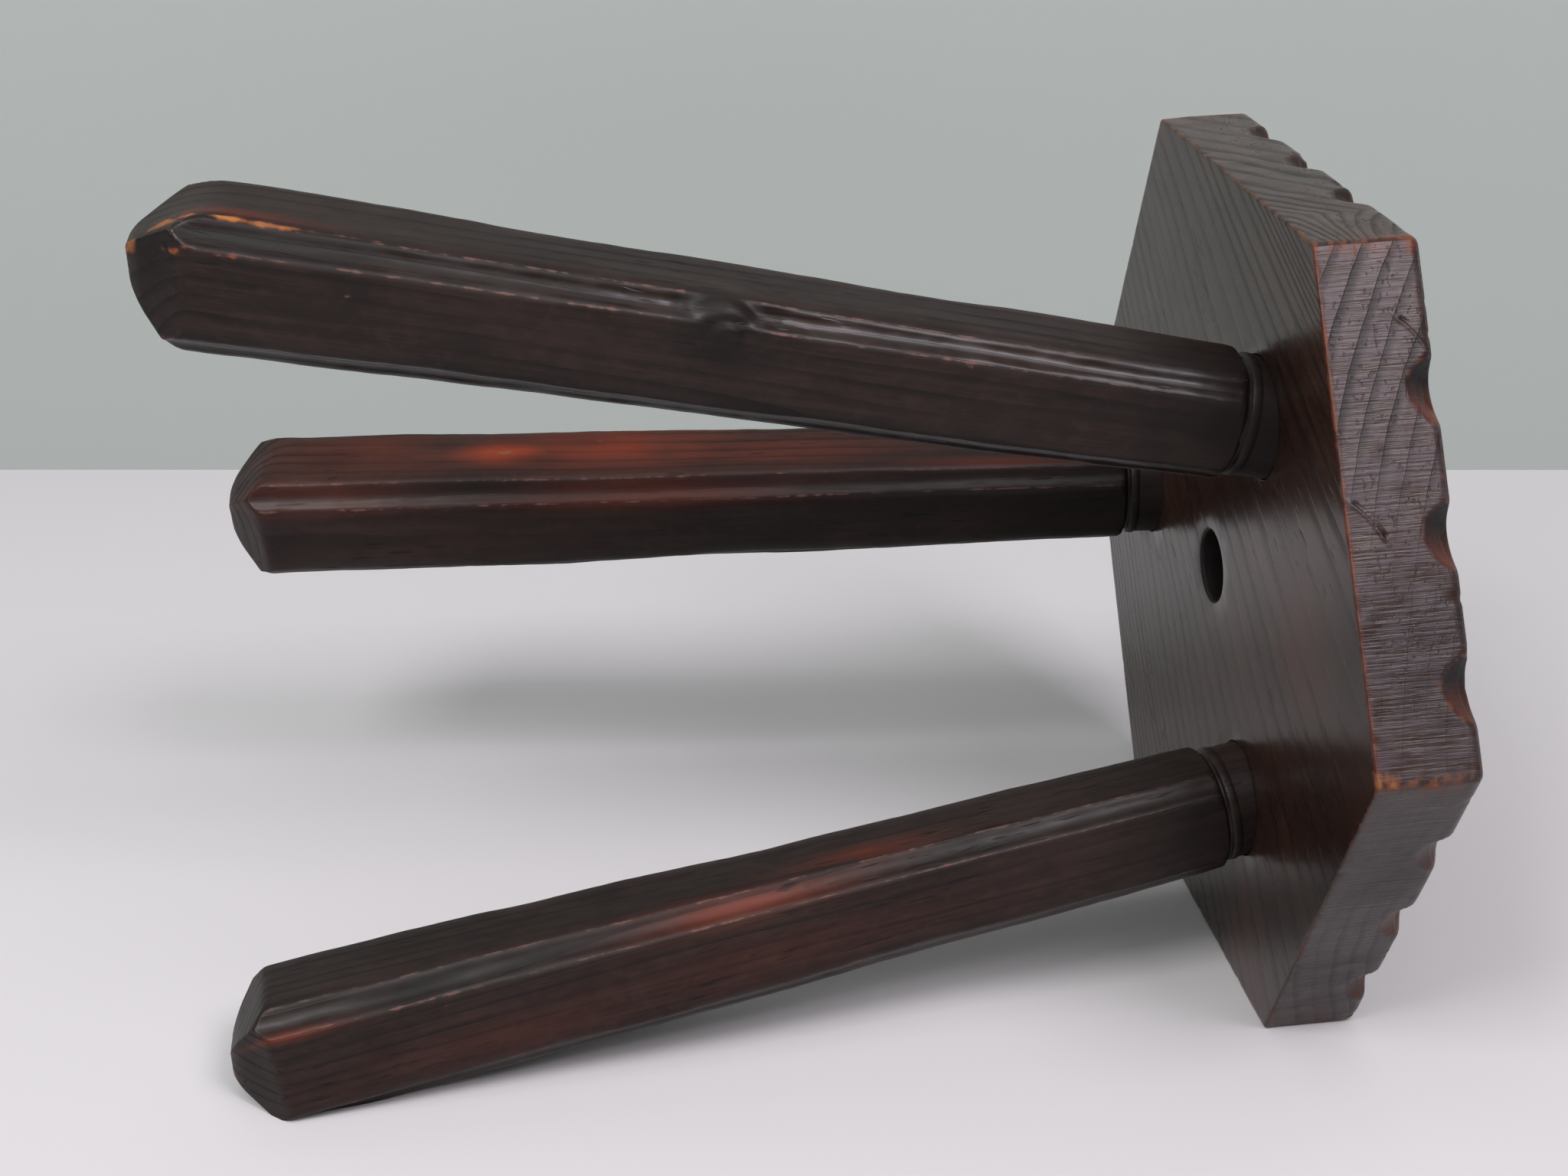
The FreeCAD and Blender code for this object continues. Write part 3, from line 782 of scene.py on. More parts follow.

# %% [markdown]
# ## Legs: put in place and stained
#
# A leg's points carry their place in the timber before the leg is leaned, so that the grain
# follows the leg. The foot and the tenon are then trimmed by sliding every point that is past
# the floor or the seat's top back along the leg, which keeps the trimmed outline exact.

# %% Stains and painted shade on the legs
# Each is (along in mm, turned by in degrees, long in mm, wide in degrees, strength)
LEG_STAINS = {
    "right": {
        "ochre": [
            (385, 103, 6, 8, 1.0), (378, 105, 8, 5, 0.9), (365, 104, 9, 4, 0.85),
            (350, 103, 10, 3, 0.75), (330, 103, 14, 2, 0.5), (380, 77, 7, 4, 0.65),
            (366, 77, 12, 2, 0.5), (396, 84, 3, 24, 0.8),
        ],
        "red": [(366, 113, 26, 5, 0.35)],
        # Dark: the first two are the knot; the third, in the cove near the foot, and the fifth,
        # along the cove at 0 degrees, are painted shade that hides reflections in the coves; the
        # rest darken the tip, one face along its length and the shoulder by the seat.
        "dark": [
            (198, 62, 12, 18, 0.6), (201, 82, 13, 26, 0.8), (350, 91, 45, 12, 0.8),
            (389, 70, 9, 60, 0.7), (200, 2, 240, 14, 0.75), (190, 140, 190, 24, 0.5),
            (20, 110, 42, 60, 0.7), (10, 60, 42, 60, 0.85),
        ],
    },
    "front": {
        "ochre": [(273, 47, 8, 7, 0.25)],
        "red": [
            (330, 50, 50, 34, 0.22), (272, 46, 20, 16, 0.95), (225, 50, 50, 30, 0.5),
            (150, 40, 50, 24, 0.3), (350, 2, 50, 14, 0.3), (215, -3, 55, 12, 0.4),
            (60, 18, 50, 6, 0.5), (300, -45, 90, 26, 0.04),
        ],
        # Dark: the first five are blotches on the upper face; the sixth, along the cove at 0
        # degrees, and the seventh, in that cove near the foot, are painted shade that dims its
        # highlight; the rest darken the tip and the part by the seat.
        "dark": [
            (300, 62, 14, 10, 0.35), (345, 40, 14, 12, 0.4), (238, 62, 12, 8, 0.35),
            (205, 42, 10, 8, 0.35), (262, 38, 12, 6, 0.5), (230, 0, 220, 9, 0.45),
            (370, 0, 40, 9, 0.6), (384, 30, 9, 90, 0.5), (100, 0, 70, 60, 0.55),
            (30, 0, 60, 120, 0.6),
        ],
    },
    "back": {
        "ochre": [(397, -165, 7, 16, 0.55)],
        "red": [
            (200, -90, 40, 11, 0.45), (150, -66, 26, 14, 0.25), (200, -140, 90, 24, 0.07),
            (290, -150, 60, 20, 0.08), (370, -101, 20, 3, 0.5),
        ],
        # Dark: the first darkens one face; the next three, in the cove at -90 degrees, are painted
        # shade that hides its highlight; the last two darken the tip and the shoulder by the seat.
        "dark": [
            (290, -45, 120, 26, 0.4), (270, -90, 45, 11, 0.75), (325, -88, 45, 9, 0.85),
            (90, -90, 60, 11, 0.6), (385, -120, 9, 90, 0.6), (20, -120, 28, 70, 0.6),
        ],
    },
}
# Where the middle of the tree lay, seen from each leg's axis
PITHS = {"right": (0.050, 0.015), "back": (0.012, -0.052), "front": (-0.045, 0.030)}


def stain_leg(mesh, name):
    """Soft spots of stain and of painted shade, placed along the leg and round it."""
    points = places(mesh)
    turned = np.degrees(np.arctan2(points[:, 1], points[:, 0]))
    for kind in STAINS:
        values = np.zeros(len(points))
        for along, around, length, width, strength in LEG_STAINS[name][kind]:
            off = (turned - around + 180) % 360 - 180
            spot = np.exp(-((points[:, 2] / MM - along) / length) ** 2 - (off / width) ** 2)
            values = np.maximum(values, strength * spot)
        store(mesh, kind, values)
    pith = np.array(PITHS[name])
    store(mesh, "wood", points + np.array([*pith, 3 * pith[0]]))
    store(mesh, "rings", np.linalg.norm(points[:, :2] - pith, axis=1))


# %% Trim a leg and put it in place
TENON_SUNK = 0.3 * MM
TIP_ROUND = 4.5 * MM
TIP_SHRINK = 0.4


def trim_and_place(mesh, leg):
    """Leans the leg and slides what is past the floor or the top back along its axis."""
    mesh.transform(leg["matrix"])
    axis = np.array(leg["matrix"].to_3x3() @ Vector((0, 0, 1)))
    points = places(mesh)
    centre = np.array(leg["matrix"].translation)
    low = (points[:, 2] > 0) & (points[:, 2] < TIP_ROUND)
    drop = (TIP_ROUND - points[:, 2]) / TIP_ROUND
    drop = np.where(low, drop, (points[:, 2] <= 0).astype(float))
    shrink = 1 - TIP_SHRINK * (1 - np.sqrt(1 - drop * drop))
    on_axis = centre + ((points[:, 2] - centre[2]) / axis[2])[:, None] * axis
    points = on_axis + (points - on_axis) * shrink[:, None]
    flush = SEAT_TOP - TENON_SUNK
    for level, past in ((0.0, points[:, 2] < 0), (flush, points[:, 2] > flush)):
        slide = (level - points[past, 2]) / axis[2]
        points[past] += slide[:, None] * axis
    mesh.vertices.foreach_set("co", points.ravel())


# %% Make the three legs
for name, leg in LEGS.items():
    mesh = shaped_leg(name, leg, LEG_FINISH)
    stain_leg(mesh, name)
    trim_and_place(mesh, leg)
    left_open = merge_and_smooth(mesh)
    piece = new_object(f"dressed_leg_{name}", mesh)
    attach(piece, "root")
    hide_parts(f"leg_{name}")
    print(piece.name, len(mesh.polygons), "faces,", left_open, "open edges")

# %% [markdown]
# ## Seat: the outline and the rim
#
# The rim carries all the seat's detail, so it is a fine grid: a rounded hexagon outline,
# repeated along a profile that runs from the underside, round the lower edge, up the side,
# round the upper edge and a little way in over the top.

# %% Outline and profile
SIDES = 6
STEPS_ON_SIDE = 150
CORNER_ROUND = 3 * MM
LOWER_ROUND = 1.0 * MM
UPPER_ROUND = 4 * MM
LOWER_BAND = 7 * MM
UPPER_BAND = 21 * MM


def side_frame(side):
    """The outward direction of a side and the direction along it, counter-clockwise."""
    facing = math.radians(60 * side - 30)
    out = np.array([math.cos(facing), math.sin(facing), 0.0])
    return out, np.array([-out[1], out[0], 0.0])


def seat_outline():
    """Points of the rounded hexagon, counter-clockwise."""
    tangent = CORNER_ROUND * math.tan(math.radians(30))
    end = CORNER / 2 - tangent
    points = []
    for side in range(SIDES):
        out, along = (direction[:2] for direction in side_frame(side))
        points += [out * APOTHEM + along * place for place in np.linspace(-end, end, STEPS_ON_SIDE)]
        corner = (out * (APOTHEM - CORNER_ROUND)) + along * end
        for turn in (15, 30, 45):
            angle = math.radians(60 * side - 30) + math.radians(turn)
            points.append(corner + CORNER_ROUND * np.array([math.cos(angle), math.sin(angle)]))
    return np.array(points)


def quarter_round(radius, turns):
    """(aside, up) round a quarter circle, from a flat face to a wall."""
    angles = np.radians(turns)
    return [(radius * (1 - math.sin(turn)), radius * (1 - math.cos(turn))) for turn in angles]


def rim_profile():
    """(inset, height) along the rim, from the underside over the side to the top."""
    profile = [(inset, SEAT_UNDER) for inset in np.linspace(LOWER_BAND, LOWER_ROUND, 5)]
    turns = (22.5, 45, 67.5, 90)
    profile += [(inset, SEAT_UNDER + rise) for inset, rise in quarter_round(LOWER_ROUND, turns)]
    upper = SEAT_TOP - UPPER_ROUND
    profile += [(0.0, height) for height in np.linspace(SEAT_UNDER + LOWER_ROUND, upper, 30)[1:]]
    for turn in np.radians([15, 30, 45, 60, 75, 90]):
        inset = UPPER_ROUND * (1 - math.cos(turn))
        profile.append((inset, upper + UPPER_ROUND * math.sin(turn)))
    profile += [(inset, SEAT_TOP) for inset in np.linspace(UPPER_ROUND, UPPER_BAND, 17)[1:]]
    return profile


OUTLINE = seat_outline()
PROFILE = rim_profile()
print("rim grid:", len(OUTLINE), "round by", len(PROFILE), "along the profile")

# %% [markdown]
# ## Seat: gouge cuts
#
# The notches were struck with a gouge that sloped down and out through the top edge. A point
# of the rim that lies above the gouge's path is pushed down and in until it lies on it. The
# soft minimum leaves a small worn round where the cut breaks the surface. Each cut has its
# own place, depth and width, because they were spaced by eye.

# %% Cut the notches
NOTCH_DEPTH = 11.5 * MM
NOTCH_RUN = 8 * MM
NOTCH_WIDTH = 25 * MM
NOTCH_RIM = 1.8 * MM
NOTCH_FADE = 1.5 * MM

# A cut is a little steeper before its middle than after it
EARLY = 1.22
LATE = 0.86

# Where the middles of the cuts lie, as shares of each side's length
NOTCH_SHARES = {
    0: (0.18, 0.43, 0.70),
    1: (0.275, 0.545, 0.825),
    2: (0.262, 0.54, 0.83),
    3: (0.25, 0.53, 0.81),
    4: (0.27, 0.55, 0.82),
    5: (0.26, 0.54, 0.80),
}


def cut_notches(points):
    """Pushes points down the gouges' paths.

    Returns them with how near each lies to a cut's rim, and how far it lies in the part of a
    cut that hands have rubbed and in the part that is painted darker as shade in the hollow.
    """
    slope = math.atan2(NOTCH_DEPTH, NOTCH_RUN)
    near = np.zeros(len(points))
    rubbed = np.zeros(len(points))
    shaded_cut = np.zeros(len(points))
    for side, shares in NOTCH_SHARES.items():
        out, along = side_frame(side)
        push = out * math.sin(slope) + np.array([0, 0, math.cos(slope)])
        for number, share in enumerate(shares):
            whim = noise.noise(Vector((side * 3.7, number * 5.1, 0.5)))
            deep = NOTCH_DEPTH * math.cos(slope) * (1 + 0.12 * whim)
            half = NOTCH_WIDTH / 2 * (1 - 0.06 * whim)
            radius = (half * half + deep * deep) / (2 * deep)
            aside = points @ along - (share - 0.5) * CORNER
            aside = np.where(aside < 0, aside * EARLY, aside * LATE)
            level = (points @ out - APOTHEM) * math.sin(slope)
            level = level + (points[:, 2] - SEAT_TOP) * math.cos(slope)
            path = radius - deep - np.sqrt(np.clip(radius**2 - aside**2, 0, None))
            path = np.where(np.abs(aside) < radius, path, 1.0)
            high = np.clip((points[:, 2] - SEAT_TOP + 5 * MM) / (5 * MM), 0, 1)
            lower = soft_min(level, path, (0.8 + 2.6 * high) * MM)
            reach = np.abs(aside) < radius
            near = np.maximum(near, reach * fade(np.abs(level - path), NOTCH_RIM))
            hand = np.clip(aside / half * 0.9 + 0.25, 0, 1)
            cut = reach * np.clip((level - path) / NOTCH_FADE + 0.5, 0, 1)
            rubbed = np.maximum(rubbed, cut * hand)
            shaded_cut = np.maximum(shaded_cut, cut * (1 - hand))
            points = points + (lower - level)[:, None] * push
    return points, near, rubbed, shaded_cut


# %% [markdown]
# ## Seat: fill the flat faces
#
# The top and the underside are flat faces with four holes each. A constrained triangulation
# fills them between the rim, the three sockets and the finger hole without a visible seam,
# and it takes loose points inside, so that the faces aren't made of long thin triangles.

# %% Faces with holes
HOLE_RADIUS = 14 * MM
HOLE_ROUND = 1.5 * MM
SOCKET_GAP = 0.25 * MM
SOCKET_EDGE = 0.5 * MM
SOCKET_STEPS = 96
HOLE_STEPS = 72
FILL_SPACING = 7 * MM
ROW_STEP = 0.866
LEAST_ROOM = 0.6
JUST_INSIDE = 0.9995
INSIDE_THE_OUTLINE = 1


def socket_ring(leg, level, extra):
    """Where a leg's socket, a little wider than its neck, crosses a level."""
    turned = leg["matrix"].to_3x3()
    axis = turned @ Vector((0, 0, 1))
    centre = leg["matrix"].translation
    ring = []
    for step in range(SOCKET_STEPS):
        angle = 2 * math.pi * step / SOCKET_STEPS
        out = turned @ Vector((math.cos(angle), -math.sin(angle), 0))
        point = centre + out * (NECK + SOCKET_GAP + extra)
        point += axis * ((level - point.z) / axis.z)
        ring.append((point.x, point.y))
    return np.array(ring)


def circle(radius):
    angles = 2 * math.pi * np.arange(HOLE_STEPS) / HOLE_STEPS
    return np.column_stack([np.cos(angles), np.sin(angles)]) * radius


def fill_between(outer, holes, spacing):
    """Triangles between an outer ring and some holes; the rings' points come first."""
    grid = []
    rows = int(CORNER / spacing) + 1
    for row in range(-rows, rows + 1):
        for column in range(-rows, rows + 1):
            grid.append(((column + 0.5 * (row % 2)) * spacing, row * spacing * ROW_STEP))
    grid = np.array(grid)
    room = np.ones(len(grid), bool)
    for hole in holes:
        middle = hole.mean(axis=0)
        reach = np.linalg.norm(hole - middle, axis=1).max()
        room &= np.linalg.norm(grid - middle, axis=1) > reach + spacing * LEAST_ROOM
    for side in range(SIDES):
        out = side_frame(side)[0][:2]
        room &= grid @ out < (outer @ out).max() - spacing * LEAST_ROOM
    rings = [outer, *holes]
    points = np.concatenate([*rings, grid[room]])
    edges = []
    start = 0
    for ring in rings:
        count = len(ring)
        edges += [(start + step, start + (step + 1) % count) for step in range(count)]
        start += count
    vectors = [Vector(point) for point in points]
    made = delaunay_2d_cdt(vectors, edges, [], INSIDE_THE_OUTLINE, 1e-7)
    corners, triangles, sources = made[0], made[2], made[3]
    faces = []
    for triangle in triangles:
        middle = np.mean([corners[corner] for corner in triangle], axis=0)
        if not any(inside_ring(middle, hole) for hole in holes):
            faces.append([sources[corner][0] for corner in triangle])
    return points, faces


def inside_ring(point, ring):
    """Whether a point lies inside a ring that is nearly a circle."""
    middle = ring.mean(axis=0)
    offset = point - middle
    angles = np.arctan2(ring[:, 1] - middle[1], ring[:, 0] - middle[0])
    turn = math.atan2(offset[1], offset[0])
    nearest = np.argmin(np.abs((angles - turn + math.pi) % (2 * math.pi) - math.pi))
    return np.linalg.norm(offset) < np.linalg.norm(ring[nearest] - middle) * JUST_INSIDE


# %% Put the seat together
def seat_mesh():
    points = []

    def add(new_points):
        start = len(points)
        points.extend(tuple(point) for point in new_points)
        return list(range(start, start + len(new_points)))

    def level_ring(ring, level):
        return add(np.column_stack([ring, np.full(len(ring), level)]))

    rows = [level_ring(OUTLINE * (1 - inset / APOTHEM), height) for inset, height in PROFILE]
    faces = ladder(rows)

    holes = {}
    for level, rim in ((SEAT_UNDER, rows[0]), (SEAT_TOP, rows[-1])):
        outer = np.array([points[index][:2] for index in rim])
        wide = [socket_ring(leg, level, SOCKET_EDGE) for leg in LEGS.values()]
        wide.append(circle(HOLE_RADIUS + HOLE_ROUND))
        flat, triangles = fill_between(outer, wide, FILL_SPACING)
        place = len(outer)
        indices = list(rim) + level_ring(flat[place:], level)
        for triangle in triangles:
            faces.append(tuple(indices[corner] for corner in triangle))
        holes[level] = []
        for ring in wide:
            holes[level].append(indices[place:place + len(ring)])
            place += len(ring)

    # Walls of the sockets and of the finger hole, with their edges rounded over
    eased = 0.15 * MM
    steps = [(eased, SEAT_UNDER + eased), (0, SEAT_UNDER + 0.5 * MM), (0, SEAT_TOP - 0.3 * MM)]
    for number, leg in enumerate(LEGS.values()):
        walls = [level_ring(socket_ring(leg, level, extra), level) for extra, level in steps]
        faces += ladder([holes[SEAT_UNDER][number], *walls, holes[SEAT_TOP][number]])
    rounds = quarter_round(HOLE_ROUND, (30, 60, 90))
    steps = [(extra, SEAT_UNDER + rise) for extra, rise in rounds]
    steps += [(0.0, SEAT_UNDER + THICKNESS * share) for share in (0.2, 0.35, 0.5, 0.65, 0.8)]
    steps += [(extra, SEAT_TOP - rise) for extra, rise in reversed(rounds)]
    walls = [level_ring(circle(HOLE_RADIUS + extra), level) for extra, level in steps]
    faces += ladder([holes[SEAT_UNDER][-1], *walls, holes[SEAT_TOP][-1]])

    mesh = bpy.data.meshes.new("seat_shape")
    mesh.from_pydata(points, [], faces)
    return mesh


# %% [markdown]
# ## Seat: hand work and stain
#
# The blank is perfect and the real plank isn't. The notches are cut first, then the sides
# get slow waves, nicks and dents. The stain values follow: worn along the lower edge and the
# notches, red and ochre where hands and knocks have rubbed it. The `dark` values are partly
# stain and partly painted shade: in the notch hollows, in the finger hole, beside the necks
# and over parts of two sides.

# %% Stains and painted shade on the seat
# Each is (x, y, z in mm, reach in mm, strength)
SEAT_STAINS = {
    "red": [
        (62, 85, 388, 26, 0.3), (-86, 140, 388, 26, 0.45), (180, 0, 422, 4, 0.9),
        (180, 0, 412, 6, 0.4), (90, -155, 388, 10, 0.4),
    ],
    "ochre": [
        (91, 152, 389, 4, 0.7), (95, 147, 388, 5, 0.35), (90, 155, 394, 5, 0.45),
        (90, 155, 400, 5, 0.4), (90, 155, 406, 5, 0.36), (90, 155, 412, 5, 0.32),
        (90, 155, 418, 5, 0.3),
    ],
    # Dark: a spot by the corner at the second side's end; painted shade over the second side towards
    # that corner and over the third side, where less of the lamp's sheen falls; a light darkening of
    # the first side; and painted shade on the underside beside the three necks, where leg meets
    # seat.
    "dark": [
        (95, 143, 403, 8, 0.5), (106, 126, 408, 38, 0.5), (30, 156, 408, 60, 0.66),
        (-50, 156, 408, 60, 0.66), (135, -78, 408, 60, 0.2), (110, 12, 388, 32, 0.55),
        (-25, 104, 388, 30, 0.5), (-59, -52, 388, 12, 0.5),
    ],
}

# %% [markdown]
# The plank was sawn from beside the middle of the tree, so its rings lie as wide arcs, which
# fan out along the board. Each point gets its place in that timber. How worn it is depends
# on how near it lies to an edge, to a notch or to a socket.

# %% Timber and worn edges of the seat
GRAIN_BEARING = math.radians(85)
SOCKET_WEAR = {"right": 1.0, "back": 0.35, "front": 0.25}
PITH_ACROSS = 45 * MM
PITH_ABOVE = 140 * MM
FAN_ABOUT = 143 * MM
FAN_FROM = 100 * MM
FAN_OVER = 443 * MM
LEAST_SLOPE = 0.42
SIDE_DEPTH = 0.6 * MM


def timber_of(points, flat):
    """Each point's place in the plank's timber, and the radius of its growth ring.

    The rings fan out along the board, and lean less at its first end than at its other.
    """
    across = points[:, 0] * math.sin(GRAIN_BEARING) - points[:, 1] * math.cos(GRAIN_BEARING)
    along = points[:, 0] * math.cos(GRAIN_BEARING) + points[:, 1] * math.sin(GRAIN_BEARING)
    height = points[:, 2] - SEAT_UNDER
    fan = FAN_ABOUT + (across - FAN_ABOUT) / (1 + (along + FAN_FROM) / FAN_OVER)
    aside = fan - PITH_ACROSS
    lean = 0.36 + 0.64 * np.clip((along + 15 * MM) / (30 * MM), 0, 1)
    under = np.hypot(aside, PITH_ABOVE)
    rings = under + lean * (np.hypot(aside, PITH_ABOVE - height) - under)

    # Over the flat faces the rings keep a least slope, so that no band gets wide
    turn = PITH_ABOVE * LEAST_SLOPE / math.sqrt(1 - LEAST_SLOPE**2)
    steep = math.hypot(turn, PITH_ABOVE)
    even = steep - LEAST_SLOPE * (turn - aside)
    even = np.where(aside > turn, under, even)
    even = np.where(aside < -turn, 2 * steep - 2 * LEAST_SLOPE * turn - under, even)
    rings = np.where(flat, even, rings)
    return np.column_stack([across, height, along]), rings


def seat_rims(points, inset, near):
    """How near each point lies to a worn edge, from 0 to 1."""
    lower_edge = np.hypot(inset, points[:, 2] - SEAT_UNDER)
    upper_edge = np.hypot(inset, points[:, 2] - SEAT_TOP)
    reach = np.hypot(points[:, 0], points[:, 1])
    to_corner = np.clip((reach - CORNER + 4 * MM) / (2.5 * MM), 0, 1)
    rim = fade(lower_edge, 2.0 * MM, 1.15)
    rim = np.maximum(rim, 0.6 * fade(upper_edge, 5 * MM))
    rim = np.maximum.reduce([rim, 0.9 * near, 0.8 * to_corner * (inset < 1.5 * MM)])
    for name, leg in LEGS.items():
        middle = socket_ring(leg, SEAT_UNDER, 0).mean(axis=0)
        gap = np.linalg.norm(points[:, :2] - middle, axis=1) - NECK
        low = np.abs(points[:, 2] - SEAT_UNDER) < 1 * MM
        rim = np.maximum(rim, SOCKET_WEAR[name] * low * fade(gap, 2.2 * MM))
    return rim, lower_edge


# %% Hand work on the seat
# How much each side shows of the saw and of the painted sheen, and how deep the waves and
# the knocks go
SAWN = np.array([0.25, 1, 1, 0.25, 1, 1])
SLOW_WAVE = 0.7 * MM
QUICK_WAVE = 0.25 * MM
NICK_DEPTH = 2.4 * MM
NICK_BAND = 7 * MM
BITE_DEPTH = 1.4 * MM
WAVE_BAND = 12 * MM
CREASED_SIDE = 1


def dress_seat(mesh):
    points = places(mesh)
    outs, alongs = zip(*(side_frame(side) for side in range(SIDES)))
    rounds = np.array([points @ out for out in outs])
    side_of = rounds.argmax(axis=0)
    inset = APOTHEM - rounds.max(axis=0)
    on_side = (inset < SIDE_DEPTH) * SAWN[side_of]
    run = np.array([points @ along for along in alongs])
    run = run[side_of, np.arange(len(points))] + CORNER / 2
    edge = np.column_stack([run + side_of * CORNER, points[:, 2] - SEAT_UNDER, on_side])
    blank = points
    points, near, rubbed, shaded_cut = cut_notches(points)
    rim, lower_edge = seat_rims(points, inset, near)

    # Slow waves, small nicks along the top edge, and dents on the lower edge
    share = fade(inset, WAVE_BAND)
    wave = noise_at(points, 40 * MM, 2) * SLOW_WAVE + noise_at(points, 11 * MM, 5) * QUICK_WAVE
    nick = np.clip(noise_at(blank * np.array([1, 1, 0.4]), 7 * MM, 9) - 0.25, 0, 1) * NICK_DEPTH
    top_share = np.clip((points[:, 2] - SEAT_TOP + NICK_BAND) / NICK_BAND, 0, 1) * share
    bite = np.clip(noise_at(blank, 5 * MM, 12) - 0.2, 0, 1) * BITE_DEPTH
    push = share * np.abs(wave) + top_share * nick + fade(lower_edge, 2.5 * MM) * bite
    outer = inset < WAVE_BAND + 1 * MM
    points[outer] -= push[outer, None] * np.array(outs)[side_of[outer]]
    points[:, 2] -= top_share * nick * 0.8
    mesh.vertices.foreach_set("co", points.ravel())

    # What the finish needs
    timber, rings = timber_of(points, inset > SIDE_DEPTH)
    for key, values in (("wood", timber), ("rings", rings), ("rim", rim), ("edge", edge)):
        store(mesh, key, values)
    creased = (side_of == CREASED_SIDE) * (inset < 3 * MM)
    patchy = creased * np.clip(0.7 + 0.8 * noise_at(blank, 14 * MM, 21), 0, 1)
    red_edge = patchy * fade(lower_edge, 1.8 * MM, 1.1)
    bare_edge = 0.45 * patchy * fade(lower_edge, 1.1 * MM, 1.1)
    # Painted shade: the wall of the finger hole is darkened.
    in_hole = np.hypot(points[:, 0], points[:, 1]) < HOLE_RADIUS + HOLE_ROUND - 0.3 * MM
    # Painted shade: the part of each notch's hollow away from the rubbed side is darkened, less on
    # the first side.
    hollow_shade = np.where(side_of == 0, 0.4, 0.95) * shaded_cut
    # Red and ochre here are wear; the dark values are painted shade.
    worn = {
        "red": (rubbed, red_edge),
        "ochre": (0.5 * rubbed * near, bare_edge),
        "dark": (hollow_shade, 0.9 * in_hole),
    }
    for kind in STAINS:
        values = np.maximum(*worn[kind])
        for x, y, z, reach, strength in SEAT_STAINS[kind]:
            off = np.linalg.norm(points / MM - np.array([x, y, z]), axis=1) / reach
            values = np.maximum(values, strength * np.exp(-off * off))
        store(mesh, kind, values)


# %% Make the seat
mesh = seat_mesh()
dress_seat(mesh)
left_open = merge_and_smooth(mesh)
mesh.materials.append(SEAT_FINISH)
seat = new_object("dressed_seat", mesh)
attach(seat, "root")
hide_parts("seat")
print("seat:", len(mesh.polygons), "faces,", left_open, "open edges")

# %% [markdown]
# ## Wedges
#
# Only the wedges' ends show, in the tenons' end grain on top of the seat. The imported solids
# are right as they are, so they stay and only get their finish.

# %% Finish the wedges
for name in LEGS:
    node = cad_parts[f"wedge_{name}"]
    node.data.materials.clear()
    node.data.materials.append(WEDGE_FINISH)

# %% [markdown]
# ## Table, backdrop, light and camera
#
# The stool lies on its side, so in the stool's own upright frame the table is a steep plane
# beside it, and the camera is rolled by a quarter turn. The table and the backdrop are seen
# from their front only: from behind they let the view through, so that the stool can be
# looked at from all round.

# %% Stage
TABLE_NORMAL = Vector((0.866, -0.5, 0.035)).normalized()
TABLE_OFFSET = -142.2 * MM
CAMERA_PLACE = Vector((733.88, 507.04, 123.49)) * MM
CAMERA_RIGHT = Vector((0.03705, 0.13329, 0.99038))
CAMERA_DOWN = Vector((-0.57938, 0.81036, -0.08739))
CAMERA_LENS = 53.69
BACKDROP_DISTANCE = 0.545
SHEET_LONG = 4.0
SHEET_WIDE = 3.0


def one_sided(name, colour):
    """A matt finish that is seen from its front only."""
    material, tree, shader = blank_finish(name)
    plug_into(shader, {"Base Color": (*colour, 1), "Roughness": 0.75, "Specular IOR Level": 0.2})
    behind = node_of(tree, "ShaderNodeNewGeometry", {}, "Backfacing")
    clear = node_of(tree, "ShaderNodeBsdfTransparent", {})
    either = {0: behind, 1: Flow(tree, shader.outputs[0]), 2: clear}
    seen = node_of(tree, "ShaderNodeMixShader", either)
    plug_into(tree.nodes["Material Output"], {"Surface": seen})
    return material


def sheet_of(name, centre, normal, along, finish):
    """A flat rectangle that faces along its normal."""
    half_along = along * SHEET_LONG / 2
    half_across = normal.cross(along).normalized() * SHEET_WIDE / 2
    signs = ((-1, -1), (1, -1), (1, 1), (-1, 1))
    corners = [centre + half_along * a + half_across * b for a, b in signs]
    mesh = bpy.data.meshes.new(name)
    mesh.from_pydata(corners, [], [(0, 1, 2, 3)])
    mesh.materials.append(finish)
    piece = new_object(name, mesh)


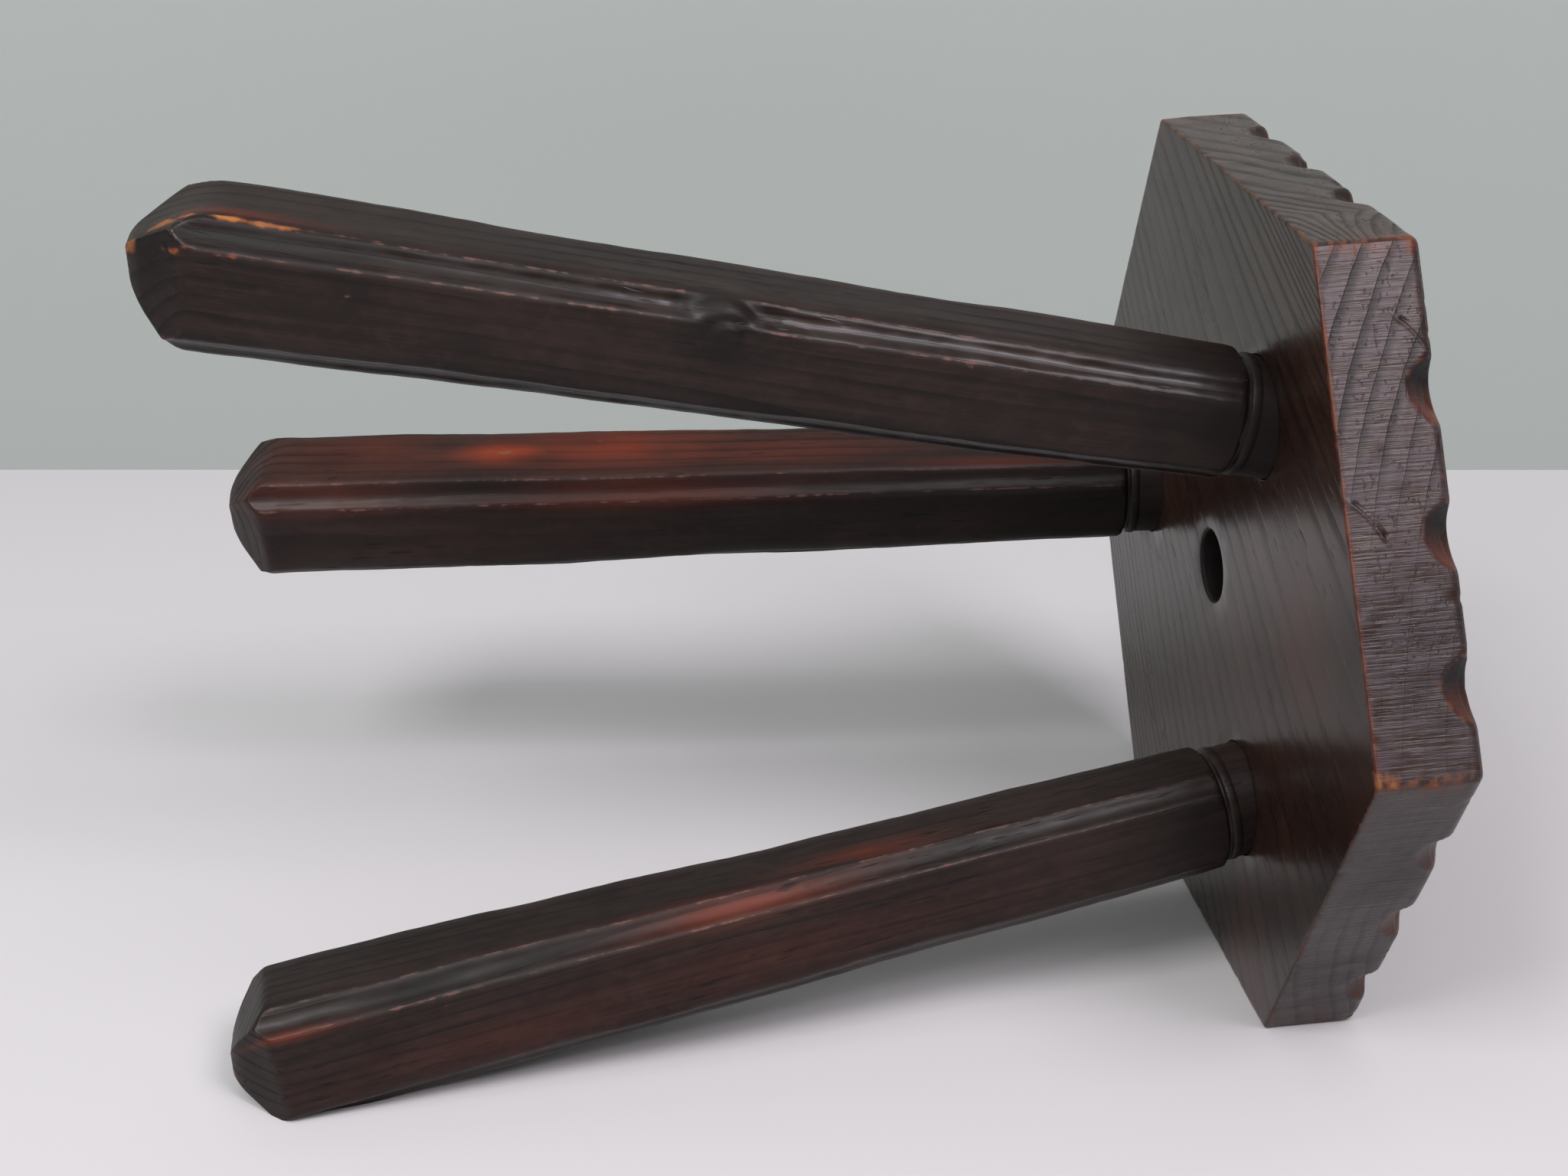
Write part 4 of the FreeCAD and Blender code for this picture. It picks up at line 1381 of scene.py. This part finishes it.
forward = CAMERA_RIGHT.cross(CAMERA_DOWN).normalized()
towards = -(forward - TABLE_NORMAL * forward.dot(TABLE_NORMAL)).normalized()
side_way = TABLE_NORMAL.cross(towards).normalized()
table_point = TABLE_NORMAL * TABLE_OFFSET
edge_point = table_point - towards * (BACKDROP_DISTANCE + table_point.dot(towards))
TABLE_FINISH = one_sided("table_white", (0.565, 0.546, 0.56))
WALL_FINISH = one_sided("backdrop_grey", (0.370, 0.402, 0.383))
sheet_of("table", edge_point + towards * SHEET_WIDE / 2, TABLE_NORMAL, side_way, TABLE_FINISH)
sheet_of("backdrop", edge_point + TABLE_NORMAL * SHEET_WIDE / 2, towards, side_way, WALL_FINISH)

# %% Camera
camera_data = bpy.data.cameras.new("camera")
camera = new_object("camera", camera_data)
up = -CAMERA_DOWN.normalized()
turned = Matrix((CAMERA_RIGHT.normalized(), up, -forward)).transposed()
camera.matrix_world = Matrix.Translation(CAMERA_PLACE) @ turned.to_4x4()
camera_data.sensor_width = 36.0
camera_data.lens = CAMERA_LENS
camera_data.clip_start = 0.01
bpy.context.scene.camera = camera

# %% Light
MIDDLE = Vector((0, 0, 0.22))
NEAR_LAMP = 2.4
FAR_LAMP = 3.2


def soft_box(name, direction, distance, size, power, colour=(1, 1, 1)):
    """A square lamp that faces the stool."""
    data = bpy.data.lights.new(name, "AREA")
    data.shape = "SQUARE"
    data.size = size
    data.energy = power
    data.color = colour
    lamp = new_object(name, data)
    direction = direction.normalized()
    lamp.location = MIDDLE + direction * distance
    lamp.rotation_mode = "QUATERNION"
    lamp.rotation_quaternion = direction.to_track_quat("Z", "Y")


LEFT_LAMP = TABLE_NORMAL * 0.74 + towards * 0.56 - side_way * 0.37
RIGHT_LAMP = TABLE_NORMAL * 0.76 + towards * 0.50 + side_way * 0.41
FRONT_LAMP = TABLE_NORMAL * 0.85 + towards * 0.5
soft_box("lamp_left", LEFT_LAMP, NEAR_LAMP, size=0.75, power=30)
soft_box("lamp_right", RIGHT_LAMP, NEAR_LAMP, size=0.83, power=26, colour=(1, 0.93, 1))
soft_box("lamp_front", FRONT_LAMP, FAR_LAMP, size=3.4, power=52)
world = bpy.data.worlds.new("room")
bpy.context.scene.world = world
world.use_nodes = True
sky = world.node_tree.nodes["Background"]
plug_into(sky, {"Color": (0.72, 0.73, 0.73, 1), "Strength": 0.40})
bpy.context.scene.view_settings.view_transform = "Standard"
